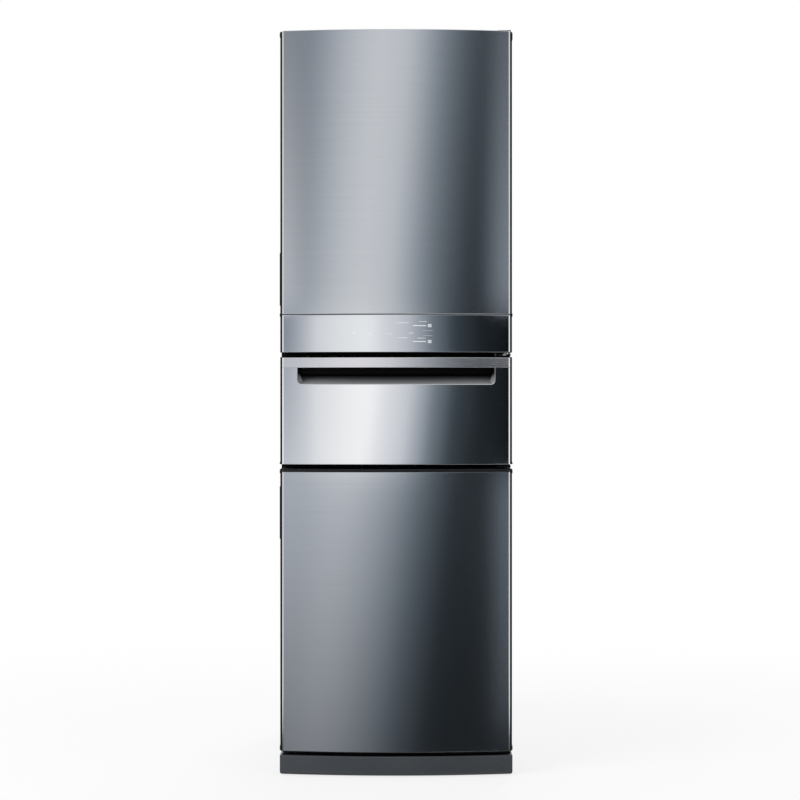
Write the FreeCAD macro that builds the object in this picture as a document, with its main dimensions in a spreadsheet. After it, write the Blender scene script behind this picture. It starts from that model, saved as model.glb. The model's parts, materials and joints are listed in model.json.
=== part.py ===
import FreeCAD, Part
import math
import os
import re

import Sketcher

# Bottom-freezer refrigerator, in millimetres: x to the right, y from front to rear, z up from the floor.
# The origin is on the floor, in the middle of the width and of the whole depth.

# Driving dimensions
SIZES = {
    # cabinet
    "cabinet_width": 600,
    "cabinet_depth": 570,
    "rear_space": 30,
    "base_height": 55,
    "skirt_height": 30,
    "shell_thickness": 1,
    "rear_panel_thickness": 1,
    "pan_thickness": 2,
    "liner_thickness": 2,
    "flange_thickness": 1,
    "side_wall": 48,
    "back_wall": 60,
    "top_wall": 57,
    "bottom_wall": 47,
    "divider_thickness": 68,
    "niche_height": 235,
    "niche_depth": 220,
    "niche_wall": 48,
    # fronts, from the floor up
    "plinth_clearance": 4,
    "plinth_height": 49,
    "plinth_overhang": 1,
    "plinth_setback": 2,
    "plinth_wall": 2.5,
    "plinth_gap": 10,
    "freezer_door_height": 732,
    "door_gap": 12,
    "drawer_front_height": 278,
    "upper_door_height": 834,
    "control_height": 97.5,
    "hinge_clearance": 1.5,
    # shape and layers of the fronts
    "door_bulge": 22,
    "door_thickness": 58,
    "skin_inset": 4.3,
    "skin_thickness": 1.2,
    "skin_corner": 5,
    "least_corner": 0.5,
    "skin_top_round": 2,
    "top_return": 20,
    "panel_seam": 1.2,
    "foam_clearance": 0.3,
    "door_liner_thickness": 3,
    "control_glass_thickness": 4,
    "control_glass_return": 12,
    "cap_height": 26,
    "cap_rim": 8,
    "drawer_cap_height": 3,
    "trim_setback": 7,
    "ear_projection": 2.4,
    "ear_setback": 3,
    "ear_height": 10,
    "hinge_ear_height": 17,
    "ear_drop": 4,
    # gaskets
    "gasket_thickness": 10,
    "gasket_margin": 16,
    "gasket_width": 16,
    "seal_gap": 0.3,
    # finger grips on the left edges
    "grip_height": 136,
    "grip_depth": 28,
    "grip_span": 42,
    "grip_setback": 9,
    "grip_wall": 2.5,
    "upper_grip_rise": 122,
    "freezer_grip_drop": 46,
    # drawer handle
    "bar_height": 27,
    "bar_thickness": 1.5,
    "handle_width": 513,
    "handle_height": 43,
    "handle_depth": 44,
    "handle_corner": 11,
    "handle_wall": 2.5,
    "handle_slope": 26,
    "finger_rise": 16,
    # hinges
    "hinge_inset": 14,
    "hinge_setback": 28,
    "pin_radius": 4,
    "running_clearance": 0.05,
    "pin_depth": 18,
    "bore_spare": 2,
    "bracket_plate": 4,
    "bracket_flange": 3,
    "bracket_reach_left": 22,
    "bracket_reach_right": 12,
    "bracket_nose": 14,
    "bracket_margin": 2,
    "top_plate": 3,
    "top_plate_length": 90,
    "cover_height": 13,
    "cover_wall": 2,
    "cover_margin": 3,
    "cover_reach": 110,
    "screw_head_radius": 4,
    "screw_head_height": 2.5,
    "screw_radius": 2,
    "screw_offset": 12,
    "screw_pitch": 40,
    # inner door liners and bins
    "dyke_gap": 24,
    "dyke_width": 26,
    "dyke_height": 40,
    "freezer_dyke_height": 18,
    "dyke_rise": 15,
    "dyke_drop": 36,
    "bin_depth": 100,
    "bin_wall": 2.5,
    "bin_floor": 3,
    "bin_corner": 14,
    "bin_clearance": 0.3,
    "bin_height": 80,
    "bottle_bin_height": 115,
    "dairy_bin_height": 70,
    "lowest_bin_height": 180,
    "bin_pitch": 148,
    "lid_thickness": 3,
    "lid_barrel_radius": 4,
    "lid_pin_radius": 2,
    "lid_pin_length": 4,
    "lid_clearance": 0.5,
    "lid_axis_setback": 8,
    # fridge compartment
    "shelf_thickness": 5,
    "shelf_gap": 12,
    "shelf_clearance": 1.5,
    "shelf_pitch": 145,
    "shelf_count": 4,
    "rib_width": 10,
    "rib_height": 8,
    "crisper_height": 158,
    "crisper_room": 170,
    "crisper_wall": 2.5,
    "crisper_floor": 3,
    "crisper_corner": 16,
    "crisper_clearance": 2,
    "duct_width": 200,
    "duct_depth": 22,
    "duct_margin": 12,
    "duct_slot_width": 50,
    "duct_slot_height": 10,
    "duct_slot_depth": 8,
    "lamp_width": 140,
    "lamp_length": 150,
    "lamp_height": 22,
    "lamp_setback": 12,
    "switch_radius": 4,
    "switch_length": 52,
    # middle drawer
    "rail_space": 26,
    "drawer_bin_length": 395,
    "drawer_bin_rise": 13,
    "drawer_bin_height": 187,
    "drawer_bin_wall": 3,
    "drawer_bin_corner": 18,
    "rail_length": 370,
    "rail_setback": 8,
    "rail_height": 44,
    "rail_sheet": 2,
    "rail_clearance": 0.4,
    "rail_depth": 14,
    # freezer compartment
    "freezer_drawer_height": 190,
    "freezer_drawer_pitch": 208,
    "freezer_drawer_rise": 8,
    "freezer_drawer_setback": 27,
    "freezer_drawer_wall": 3,
    "freezer_drawer_corner": 18,
    "freezer_drawer_gap": 8,
    "bottom_drawer_height": 225,
    "cover_front_room": 92,
    "cover_sheet": 4,
    "cover_edge": 1,
    "vent_count": 9,
    "vent_width": 6,
    "vent_height": 84,
    "vent_pitch": 11,
    "evaporator_margin": 52,
    "evaporator_height": 210,
    "evaporator_depth": 56,
    "evaporator_rise": 30,
    "fin_count": 21,
    "fin_thickness": 1.2,
    "coil_radius": 4,
    "coil_rows": 4,
    # evaporator fan
    "fan_drop": 78,
    "fan_radius": 50,
    "fan_gap": 8,
    "fan_depth": 18,
    "fan_hub_radius": 14,
    "fan_blade_count": 5,
    "fan_blade_thickness": 1.6,
    "fan_root_pitch": 48,
    "fan_tip_pitch": 24,
    "fan_chord": 22,
    "motor_radius": 20,
    "motor_length": 26,
    "motor_gap": 2,
    "shaft_radius": 2.5,
    "motor_arm": 4,
    "motor_arm_height": 16,
    # machinery at the rear
    "compressor_inset": 200,
    "compressor_radius": 72,
    "compressor_wall_height": 92,
    "compressor_dome": 34,
    "compressor_sump": 24,
    "compressor_seam": 4,
    "compressor_seam_height": 6,
    "compressor_boss": 20,
    "compressor_boss_height": 4,
    "foot_plate_length": 190,
    "foot_plate_width": 150,
    "foot_plate_thickness": 4,
    "stud_radius": 10,
    "stud_height": 14,
    "stud_inset": 16,
    "suction_radius": 4,
    "suction_reach": 24,
    "tray_half_length": 80,
    "tray_half_width": 78,
    "tray_height": 28,
    "tray_wall": 2,
    "tray_corner": 12,
    "tube_radius": 2.5,
    "tube_inset": 6,
    "stub_length": 18,
    "condenser_inset": 70,
    "condenser_rise": 90,
    "condenser_pitch": 80,
    "condenser_runs": 14,
    "bend_radius": 40,
    "clip_half": 8,
    "clip_height": 20,
    "clip_inset": 30,
    "clip_clearance": 0.1,
    "inlet_inset": 95,
    "inlet_width": 50,
    "inlet_height": 34,
    "inlet_depth": 14,
    "inlet_rise": 14,
    "socket_width": 25,
    "socket_height": 17,
    "socket_depth": 11,
    # feet and rollers
    "foot_inset": 60,
    "foot_setback": 45,
    "foot_radius": 18,
    "foot_height": 12,
    "stem_radius": 5,
    "stem_spare": 3,
    "boss_radius": 10,
    "boss_length": 28,
    "roller_inset": 75,
    "roller_setback": 40,
    "roller_radius": 13,
    "roller_width": 20,
    "axle_radius": 3,
    "roller_gap": 1,
    "roller_ear": 3,
    "roller_ear_half": 10,
    "roller_ear_clearance": 4,
}

# Places worked out from the driving dimensions
LAYOUT = {
    "half_width": "cabinet_width / 2",
    "overall_depth": "door_bulge + door_thickness + gasket_thickness + cabinet_depth + rear_space",
    "front_apex": "-overall_depth / 2",
    "rear_limit": "overall_depth / 2",
    "door_front": "front_apex + door_bulge",
    "door_back": "door_front + door_thickness",
    "liner_face": "door_back - door_liner_thickness",
    "cabinet_front": "door_back + gasket_thickness",
    "cabinet_rear": "cabinet_front + cabinet_depth",
    "plinth_top": "plinth_clearance + plinth_height",
    "freezer_low": "plinth_top + plinth_gap",
    "freezer_high": "freezer_low + freezer_door_height",
    "drawer_low": "freezer_high + door_gap",
    "drawer_high": "drawer_low + drawer_front_height",
    "upper_low": "drawer_high + door_gap",
    "upper_high": "upper_low + upper_door_height",
    "control_high": "upper_low + control_height",
    "cabinet_top": "upper_high + hinge_clearance",
    "lower_divide": "freezer_high + door_gap / 2",
    "upper_divide": "drawer_high + door_gap / 2",
    "cavity_half": "half_width - side_wall",
    "cavity_rear": "cabinet_rear - back_wall",
    "fridge_floor": "upper_divide + divider_thickness / 2",
    "fridge_ceiling": "cabinet_top - top_wall",
    "drawer_floor": "lower_divide + divider_thickness / 2",
    "drawer_ceiling": "upper_divide - divider_thickness / 2",
    "freezer_floor": "base_height + bottom_wall",
    "freezer_ceiling": "lower_divide - divider_thickness / 2",
    "niche_front": "cabinet_rear - niche_depth",
    "niche_top": "base_height + niche_height",
    "hump_front": "niche_front - niche_wall",
    "hump_top": "niche_top + niche_wall",
    "shell_inside": "half_width - shell_thickness",
    "liner_half": "cavity_half + liner_thickness",
    "foam_front": "cabinet_front + flange_thickness",
    "foam_rear": "cabinet_rear - rear_panel_thickness",
    "foam_top": "cabinet_top - shell_thickness",
    "foam_base": "base_height + pan_thickness",
    "skin_half": "half_width - skin_inset",
    "bow_radius": "(skin_half ^ 2 + door_bulge ^ 2) / (2 * door_bulge)",
    "bow_centre": "front_apex + bow_radius",
    "core_inset": "skin_thickness + foam_clearance",
    "hinge_x": "half_width - hinge_inset",
    "hinge_y": "door_front + hinge_setback",
    "bore_radius": "pin_radius + running_clearance",
    "bore_depth": "pin_depth + bore_spare",
    "roof_level": "upper_high - skin_thickness - foam_clearance",
    "trim_front": "door_front + trim_setback",
    "grip_front": "door_front + grip_setback",
    "upper_grip_low": "upper_low + upper_grip_rise",
    "freezer_grip_low": "freezer_high - freezer_grip_drop - grip_height",
    "bar_low": "drawer_high - bar_height",
    "handle_half": "handle_width / 2",
    "handle_low": "bar_low - handle_height",
    "handle_high": "bar_low + finger_rise",
    "handle_rear": "door_front + handle_depth",
    "dyke_half": "cavity_half - dyke_gap",
    "upper_dyke_low": "fridge_floor + dyke_rise",
    "upper_dyke_high": "fridge_ceiling - dyke_drop",
    "bin_half": "dyke_half - dyke_width - bin_clearance",
    "bin_front": "door_back + bin_depth",
    "first_bin_low": "upper_dyke_low + dyke_width + lowest_bin_height",
    "dairy_low": "first_bin_low + 2 * bin_pitch",
    "dairy_high": "dairy_low + dairy_bin_height",
    "lid_y": "door_back + lid_axis_setback",
    "lid_z": "dairy_high + lid_barrel_radius + lid_clearance",
    "shelf_front": "bin_front + shelf_gap",
    "shelf_rear": "cavity_rear - duct_depth - shelf_clearance",
    "first_shelf": "fridge_floor + crisper_room",
    "lamp_front": "cabinet_front + lamp_setback",
    "switch_z": "fridge_ceiling - lamp_height / 2",
    "drawer_bin_half": "cavity_half - rail_space",
    "rail_z": "(drawer_floor + drawer_ceiling) / 2",
    "rail_front": "cabinet_front + rail_setback",
    "rail_rear": "rail_front + rail_length",
    "freezer_drawer_half": "cavity_half - rib_width - crisper_clearance",
    "freezer_drawer_front": "cabinet_front + freezer_drawer_setback",
    "first_freezer_level": "hump_top + freezer_drawer_rise",
    "cover_front": "cavity_rear - cover_front_room",
    "evaporator_width": "2 * (cavity_half - evaporator_margin)",
    "fan_z": "freezer_ceiling - fan_drop",
    "fan_front": "cover_front + cover_sheet + fan_gap",
    "motor_front": "fan_front + fan_depth + motor_gap",
    "machine_y": "(niche_front + cabinet_rear) / 2",
    "compressor_offset": "half_width - compressor_inset",
    "machine_low": "skirt_height + pan_thickness",
    "pot_low": "machine_low + stud_height",
    "pot_wall_low": "pot_low + compressor_sump",
    "pot_wall_high": "pot_wall_low + compressor_wall_height",
    "pot_mid": "(pot_wall_low + pot_wall_high) / 2",
    "pot_top": "pot_wall_high + compressor_dome + compressor_boss_height",
    "tube_y": "rear_limit - tube_inset",
    "condenser_low": "niche_top + condenser_rise",
    "condenser_half": "half_width - condenser_inset",
    "clip_offset": "condenser_half - clip_inset",
    "inlet_offset": "half_width - inlet_inset",
    "foot_spread": "half_width - foot_inset",
    "foot_y": "cabinet_front + foot_setback",
    "roller_spread": "half_width - roller_inset",
    "roller_y": "cabinet_rear - roller_setback",
    "roller_inner": "roller_spread - roller_width / 2 - roller_gap - roller_ear",
    "roller_outer": "roller_spread + roller_width / 2 + roller_gap + roller_ear",
}

MARGIN = 5  # how far cutting tools run past the solid they cut
TOLERANCE = 1e-6

doc = FreeCAD.newDocument("BottomFreezerRefrigerator")
sheet = doc.addObject("Spreadsheet::Sheet", "Sizes")
for row, (alias, number) in enumerate(SIZES.items(), 1):
    sheet.set(f"A{row}", alias)
    sheet.set(f"B{row}", str(number))
    sheet.setAlias(f"B{row}", alias)
doc.recompute()

nodes = []


def bind(formula):
    """Spell a formula out in sheet cells."""

    def spell(match):
        word = match.group(0)
        if word in LAYOUT:
            return f"({bind(LAYOUT[word])})"
        if word in SIZES:
            return f"Sizes.{word}"
        return word

    return re.sub(r"[A-Za-z_]\w*", spell, str(formula))


def value(formula):
    return float(sheet.evalExpression(bind(formula)))


def node(finished):
    """Keep a finished sub-part: its label names its file."""
    nodes.append(finished)
    return finished


# Solids and booleans


def box(name, x, y, z):
    solid = doc.addObject("Part::Box", name)
    spans = (x, y, z)
    for side, (low, high) in zip(("Length", "Width", "Height"), spans):
        solid.setExpression(side, bind(f"({high}) - ({low})"))
    for axis, (low, high) in zip("xyz", spans):
        solid.setExpression(f"Placement.Base.{axis}", bind(low))
    return solid


def centred(half):
    return (f"-({half})", f"{half}")


def side_box(name, side, inner, outer, y, z):
    """Box on the left (side -1) or right (side 1), between two distances from the middle plane."""
    x = (inner, outer) if side > 0 else (f"-({outer})", f"-({inner})")
    return box(name, x, y, z)


TURNS = {
    "x": FreeCAD.Rotation(FreeCAD.Vector(0, 1, 0), 90),
    "y": FreeCAD.Rotation(FreeCAD.Vector(1, 0, 0), -90),
    "z": FreeCAD.Rotation(),
}


def rod(name, axis, across, span, radius):
    """Cylinder along an axis; across gives its place on the other two axes, in x, y, z order."""
    solid = doc.addObject("Part::Cylinder", name)
    solid.Placement = FreeCAD.Placement(FreeCAD.Vector(), TURNS[axis])
    solid.setExpression("Radius", bind(radius))
    solid.setExpression("Height", bind(f"({span[1]}) - ({span[0]})"))
    places = list(across)
    places.insert("xyz".index(axis), span[0])
    for letter, place in zip("xyz", places):
        solid.setExpression(f"Placement.Base.{letter}", bind(place))
    return solid


def fuse(name, *solids):
    whole = doc.addObject("Part::MultiFuse", name)
    whole.Shapes = list(solids)
    whole.Refine = True
    return whole


def cut(name, base, *tools):
    whole = doc.addObject("Part::Cut", name)
    whole.Base = base
    whole.Tool = tools[0] if len(tools) == 1 else fuse(f"{name}_tools", *tools)
    whole.Refine = True
    return whole


def common(name, first, second):
    whole = doc.addObject("Part::MultiCommon", name)
    whole.Shapes = [first, second]
    return whole


def group(name, *solids):
    whole = doc.addObject("Part::Compound", name)
    whole.Links = list(solids)
    return whole


# Sketches and features


def new_sketch(body, name, role, level):
    sketch = body.newObject("Sketcher::SketchObject", name)
    plane = next(part for part in body.Origin.OriginFeatures if part.Role == role)
    sketch.AttachmentSupport = [(plane, "")]
    sketch.MapMode = "FlatFace"
    sketch.setExpression("AttachmentOffset.Base.z", bind(level))
    return sketch


def relate(sketch, kind, *elements):
    sketch.addConstraint(Sketcher.Constraint(kind, *elements))


def measure(sketch, name, formula, kind, *elements):
    """Add a dimension to a sketch and bind it to a formula."""
    index = sketch.addConstraint(Sketcher.Constraint(kind, *elements, value(formula)))
    sketch.renameConstraint(index, name)
    sketch.setExpression(f"Constraints.{name}", bind(formula))


def arc(centre_x, centre_y, radius, start, end):
    circle = Part.Circle(FreeCAD.Vector(centre_x, centre_y, 0), FreeCAD.Vector(0, 0, 1), radius)
    return Part.ArcOfCircle(circle, start, end)


def line(start, end):
    return Part.LineSegment(FreeCAD.Vector(*start, 0), FreeCAD.Vector(*end, 0))


def outline(sketch, points):
    """Closed outline of straight lines through points given as pairs of formulas."""
    corners = [(value(across), value(up)) for across, up in points]
    count = len(corners)
    for i in range(count):
        sketch.addGeometry(line(corners[i], corners[(i + 1) % count]))
    for i, (across, up) in enumerate(points):
        relate(sketch, "Coincident", (i - 1) % count, 2, i, 1)
        for axis, letter, formula in ((-2, "X", across), (-1, "Y", up)):
            if formula == "0":
                relate(sketch, "PointOnObject", i, 1, axis)
            else:
                measure(sketch, f"{letter.lower()}{i}", formula, f"Distance{letter}", -1, 1, i, 1)


def bowed_profile(sketch, half, rear, inset):
    """Plan of a bowed front: straight rear and sides, rounded corners, front on the shared bow."""
    bow = f"bow_radius - ({inset})"
    corner = f"max(skin_corner - ({inset}); least_corner)"
    reach = value(half)
    back = value(rear)
    radius = value(bow)
    centre = value("bow_centre")
    rounding = value(corner)
    corner_y = centre - math.sqrt((radius - rounding) ** 2 - (reach - rounding) ** 2)
    tilt = math.atan2(corner_y - centre, reach - rounding)
    sketch.addGeometry(line((-reach, back), (reach, back)))
    sketch.addGeometry(line((reach, back), (reach, corner_y)))
    sketch.addGeometry(arc(reach - rounding, corner_y, rounding, tilt, 0))
    sketch.addGeometry(arc(0, centre, radius, -math.pi - tilt, tilt))
    sketch.addGeometry(arc(rounding - reach, corner_y, rounding, math.pi, math.pi - tilt))
    sketch.addGeometry(line((-reach, corner_y), (-reach, back)))
    relate(sketch, "Coincident", 0, 2, 1, 1)
    relate(sketch, "Coincident", 5, 2, 0, 1)
    relate(sketch, "Tangent", 1, 2, 2, 2)
    relate(sketch, "Tangent", 2, 1, 3, 2)
    relate(sketch, "Tangent", 3, 1, 4, 2)
    relate(sketch, "Tangent", 4, 1, 5, 1)
    relate(sketch, "Horizontal", 0)
    relate(sketch, "Vertical", 1)
    relate(sketch, "Vertical", 5)
    relate(sketch, "PointOnObject", 3, 3, -2)
    relate(sketch, "Equal", 2, 4)
    measure(sketch, "right", half, "DistanceX", -1, 1, 0, 2)
    measure(sketch, "left", f"-({half})", "DistanceX", -1, 1, 0, 1)
    measure(sketch, "rear", rear, "DistanceY", -1, 1, 0, 1)
    measure(sketch, "centre", "bow_centre", "DistanceY", -1, 1, 3, 3)
    measure(sketch, "bow", bow, "Radius", 3)
    measure(sketch, "corner", corner, "Radius", 2)


def rounded_profile(sketch, x, y, corner):
    """Rectangle with four equal round corners."""
    left, right = value(x[0]), value(x[1])
    low, high = value(y[0]), value(y[1])
    radius = value(corner)
    quarter = math.pi / 2
    sketch.addGeometry(line((left + radius, low), (right - radius, low)))
    sketch.addGeometry(arc(right - radius, low + radius, radius, -quarter, 0))
    sketch.addGeometry(line((right, low + radius), (right, high - radius)))
    sketch.addGeometry(arc(right - radius, high - radius, radius, 0, quarter))
    sketch.addGeometry(line((right - radius, high), (left + radius, high)))
    sketch.addGeometry(arc(left + radius, high - radius, radius, quarter, 2 * quarter))
    sketch.addGeometry(line((left, high - radius), (left, low + radius)))
    sketch.addGeometry(arc(left + radius, low + radius, radius, 2 * quarter, 3 * quarter))
    for i in range(8):
        relate(sketch, "Tangent", i, 2, (i + 1) % 8, 1)
    for i in (0, 4):
        relate(sketch, "Horizontal", i)
    for i in (2, 6):
        relate(sketch, "Vertical", i)
    for i in (3, 5, 7):
        relate(sketch, "Equal", 1, i)
    measure(sketch, "corner", corner, "Radius", 1)
    measure(sketch, "low", y[0], "DistanceY", -1, 1, 0, 1)
    measure(sketch, "right", x[1], "DistanceX", -1, 1, 2, 1)
    measure(sketch, "high", y[1], "DistanceY", -1, 1, 4, 1)
    measure(sketch, "left", x[0], "DistanceX", -1, 1, 6, 1)


def pad(body, sketch, length):
    feature = body.newObject("PartDesign::Pad", f"{sketch.Name}_pad")
    feature.Profile = sketch
    feature.setExpression("Length", bind(length))
    return feature


def pocket(body, sketch, depth):
    """Cut along the sketch's own normal and make sure that material came away."""
    doc.recompute()
    before = body.Shape.Volume
    feature = body.newObject("PartDesign::Pocket", f"{sketch.Name}_pocket")
    feature.Profile = sketch
    feature.Reversed = True
    feature.setExpression("Length", bind(depth))
    doc.recompute()
    if body.Shape.Volume > before - TOLERANCE:
        raise RuntimeError(f"{sketch.Name} cuts nothing")
    return feature


def bowed_body(name, low, high, half, inset, rear):
    """Solid bowed slab from one level to another."""
    body = doc.addObject("PartDesign::Body", name)
    sketch = new_sketch(body, f"{name}_plan", "XY_Plane", low)
    bowed_profile(sketch, half, rear, inset)
    pad(body, sketch, f"({high}) - ({low})")
    return body


def bowed_sheet(name, low, high, half, wall, rear, roof=None, inset="0"):
    """Bowed sheet with side returns, open at the rear and below, and above too unless it has a roof."""
    body = bowed_body(name, low, high, half, inset, rear)
    inside = new_sketch(body, f"{name}_inside", "XY_Plane", low)
    bowed_profile(inside, f"{half} - ({wall})", f"{rear} + {MARGIN}", f"{inset} + {wall}")
    ceiling = f"({high}) - ({roof})" if roof else f"({high}) + {MARGIN}"
    pocket(body, inside, f"{ceiling} - ({low})")
    return body


def tub(name, x, y, z, wall, floor, corner):
    """Open-topped moulded box with round upright corners."""
    body = doc.addObject("PartDesign::Body", name)
    outer = new_sketch(body, f"{name}_outer", "XY_Plane", z[0])
    rounded_profile(outer, x, y, corner)
    pad(body, outer, f"({z[1]}) - ({z[0]})")
    inner = new_sketch(body, f"{name}_inner", "XY_Plane", f"{z[0]} + {floor}")
    room_x = (f"{x[0]} + {wall}", f"{x[1]} - ({wall})")
    room_y = (f"{y[0]} + {wall}", f"{y[1]} - ({wall})")
    rounded_profile(inner, room_x, room_y, f"{corner} - ({wall})")
    pocket(body, inner, f"({z[1]}) - ({z[0]}) - ({floor})")
    return body


def turned(name, points, axis, place):
    """Turned piece: an outline spun about its sketch's H_Axis or V_Axis, then put in place."""
    body = doc.addObject("PartDesign::Body", name)
    sketch = new_sketch(body, f"{name}_section", "XZ_Plane", "0")
    outline(sketch, points)
    feature = body.newObject("PartDesign::Revolution", f"{name}_turn")
    feature.Profile = sketch
    feature.ReferenceAxis = (sketch, [axis])
    feature.Angle = 360
    for letter, formula in zip("xyz", place):
        body.setExpression(f"Placement.Base.{letter}", bind(formula))
    return body


# Cabinet


def make_shell():
    depth = ("cabinet_front", "cabinet_rear")
    height = ("skirt_height", "cabinet_top")
    left = side_box("shell_left", -1, "shell_inside", "half_width", depth, height)
    right = side_box("shell_right", 1, "shell_inside", "half_width", depth, height)
    roof = box("shell_roof", centred("shell_inside"), depth, ("foam_top", "cabinet_top"))
    node(group("cabinet_shell", left, right, roof))
    panel_depth = ("foam_rear", "cabinet_rear")
    node(box("rear_panel", centred("shell_inside"), panel_depth, ("niche_top", "foam_top")))


def make_insulation():
    whole_depth = ("foam_front", "foam_rear")
    front_depth = ("foam_front", "niche_front")
    between = centred("liner_half")
    cavity_depth = ("foam_front", "cavity_rear + liner_thickness")
    hump_depth = ("hump_front + liner_thickness", "foam_rear")
    ceiling = "fridge_ceiling + liner_thickness"
    floor = "freezer_floor - liner_thickness"
    hump = "hump_top - liner_thickness"
    blocks = []
    for side, word in ((-1, "left"), (1, "right")):
        blocks.append(
            side_box(f"foam_{word}", side, "liner_half", "shell_inside", whole_depth, ("niche_top", "foam_top"))
        )
        blocks.append(
            side_box(f"foam_{word}_low", side, "liner_half", "shell_inside", front_depth, ("foam_base", "niche_top"))
        )
    blocks.append(box("foam_ceiling", between, whole_depth, (ceiling, "foam_top")))
    blocks.append(box("foam_back", between, ("cavity_rear + liner_thickness", "foam_rear"), (hump, ceiling)))
    blocks.append(box("foam_hump", between, hump_depth, ("niche_top", hump)))
    blocks.append(
        box("foam_step", between, ("hump_front + liner_thickness", "niche_front"), (floor, "niche_top"))
    )
    blocks.append(box("foam_floor", between, front_depth, ("foam_base", floor)))
    for word, low, high in (
        ("lower", "freezer_ceiling + liner_thickness", "drawer_floor - liner_thickness"),
        ("upper", "drawer_ceiling + liner_thickness", "fridge_floor - liner_thickness"),
    ):
        blocks.append(box(f"foam_divider_{word}", between, cavity_depth, (low, high)))
    node(group("cabinet_insulation", *blocks))


def ledges(name, level, y):
    """Pair of moulded ribs whose tops are at one level."""
    z = (f"{level} - rib_height", level)
    reach = ("cavity_half - rib_width", "cavity_half + liner_thickness / 2")
    return [side_box(f"{name}_{word}", side, *reach, y, z) for side, word in ((-1, "left"), (1, "right"))]


def make_liner(name, room, flange_z):
    """Moulded tub with a front flange; room gives its inner floor and ceiling."""
    floor, ceiling = room
    wall = "liner_thickness"
    hull = box(
        f"{name}_hull",
        centred("liner_half"),
        ("cabinet_front", f"cavity_rear + {wall}"),
        (f"{floor} - {wall}", f"{ceiling} + {wall}"),
    )
    flange = box(f"{name}_flange", centred("shell_inside"), ("cabinet_front", "foam_front"), flange_z)
    inside = box(f"{name}_inside", centred("cavity_half"), (f"cabinet_front - {MARGIN}", "cavity_rear"), room)
    return cut(name, fuse(f"{name}_whole", hull, flange), inside)


def shelf_levels():
    return [f"first_shelf + {i} * shelf_pitch" for i in range(int(value("shelf_count")))]


def make_liners():
    fridge = make_liner("fridge_tub", ("fridge_floor", "fridge_ceiling"), ("upper_divide", "foam_top"))
    ribs = []
    for i, level in enumerate(shelf_levels()):
        ribs += ledges(f"shelf_rib_{i}", level, ("shelf_front", "shelf_rear"))
    node(fuse("fridge_liner", fridge, *ribs))
    drawer_room = ("drawer_floor", "drawer_ceiling")
    node(make_liner("drawer_cavity_liner", drawer_room, ("lower_divide", "upper_divide")))

    step = box(
        "freezer_step",
        centred("liner_half"),
        ("hump_front", f"cavity_rear + {MARGIN}"),
        (f"freezer_floor - {MARGIN}", "hump_top"),
    )
    room = box(
        "freezer_room_whole",
        centred("cavity_half"),
        (f"cabinet_front - {MARGIN}", "cavity_rear"),
        ("freezer_floor", "freezer_ceiling"),
    )
    hull_step = box(
        "freezer_hull_step",
        centred(f"liner_half + {MARGIN}"),
        ("hump_front + liner_thickness", f"cavity_rear + 2 * {MARGIN}"),
        (f"freezer_floor - 2 * {MARGIN}", "hump_top - liner_thickness"),
    )
    hull_whole = box(
        "freezer_hull_whole",
        centred("liner_half"),
        ("cabinet_front", "cavity_rear + liner_thickness"),
        ("freezer_floor - liner_thickness", "freezer_ceiling + liner_thickness"),
    )
    flange = box(
        "freezer_flange", centred("shell_inside"), ("cabinet_front", "foam_front"), ("foam_base", "lower_divide")
    )
    outside = fuse("freezer_outside", cut("freezer_hull", hull_whole, hull_step), flange)
    tub_shape = cut("freezer_tub", outside, cut("freezer_room", room, step))
    runners = []
    for i in range(2):
        level = f"first_freezer_level + {i} * freezer_drawer_pitch"
        runners += ledges(f"freezer_rib_{i}", level, ("freezer_drawer_front", "cover_front"))
    node(fuse("freezer_liner", tub_shape, *runners))


def make_base():
    """Floor, step and machine shelf under the cabinet, with foot bosses, roller ears and compressor studs."""
    width = centred("shell_inside")
    step_rear = "niche_front + pan_thickness"
    niche_depth = (step_rear, "cabinet_rear")
    pieces = [
        box("pan_floor", width, ("cabinet_front", "niche_front"), ("base_height", "foam_base")),
        box("pan_step", width, ("niche_front", step_rear), ("skirt_height", "niche_top")),
        box("pan_shelf", width, niche_depth, ("skirt_height", "machine_low")),
        box("pan_ceiling", width, niche_depth, ("niche_top - pan_thickness", "niche_top")),
    ]
    boss_low = "base_height - boss_length"
    bore_span = (f"{boss_low} - {MARGIN}", "base_height - stem_spare / 2")
    ear_y = ("roller_y - roller_ear_half", "roller_y + roller_ear_half")
    ear_z = ("roller_ear_clearance", "skirt_height")
    for side, word in ((-1, "left"), (1, "right")):
        foot = (f"{side} * foot_spread", "foot_y")
        boss = rod(f"foot_boss_{word}_whole", "z", foot, (boss_low, "base_height"), "boss_radius")
        bore = rod(f"foot_bore_{word}", "z", foot, bore_span, "stem_radius + running_clearance")
        pieces.append(cut(f"foot_boss_{word}", boss, bore))
        for place, inner in (("inner", "roller_inner"), ("outer", "roller_outer - roller_ear")):
            name = f"roller_ear_{place}_{word}"
            ear = side_box(f"{name}_whole", side, inner, f"{inner} + roller_ear", ear_y, ear_z)
            hole = rod(
                f"{name}_hole",
                "x",
                ("roller_y", "roller_radius"),
                centred(f"roller_outer + {MARGIN}"),
                "axle_radius + running_clearance",
            )
            pieces.append(cut(name, ear, hole))
    for i, (across, along) in enumerate(((-1, -1), (-1, 1), (1, -1), (1, 1))):
        place = (
            f"compressor_offset + {across} * (foot_plate_length / 2 - stud_inset)",
            f"machine_y + {along} * (foot_plate_width / 2 - stud_inset)",
        )
        pieces.append(rod(f"compressor_stud_{i}", "z", place, ("machine_low", "pot_low"), "stud_radius"))
    node(group("base_pan", *pieces))


def make_plinth():
    plinth = bowed_sheet(
        "plinth",
        "plinth_clearance",
        "plinth_top",
        "half_width + plinth_overhang",
        "plinth_wall",
        "cabinet_front",
        roof="plinth_wall",
        inset="plinth_setback",
    )
    node(plinth)


# Hinges


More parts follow.
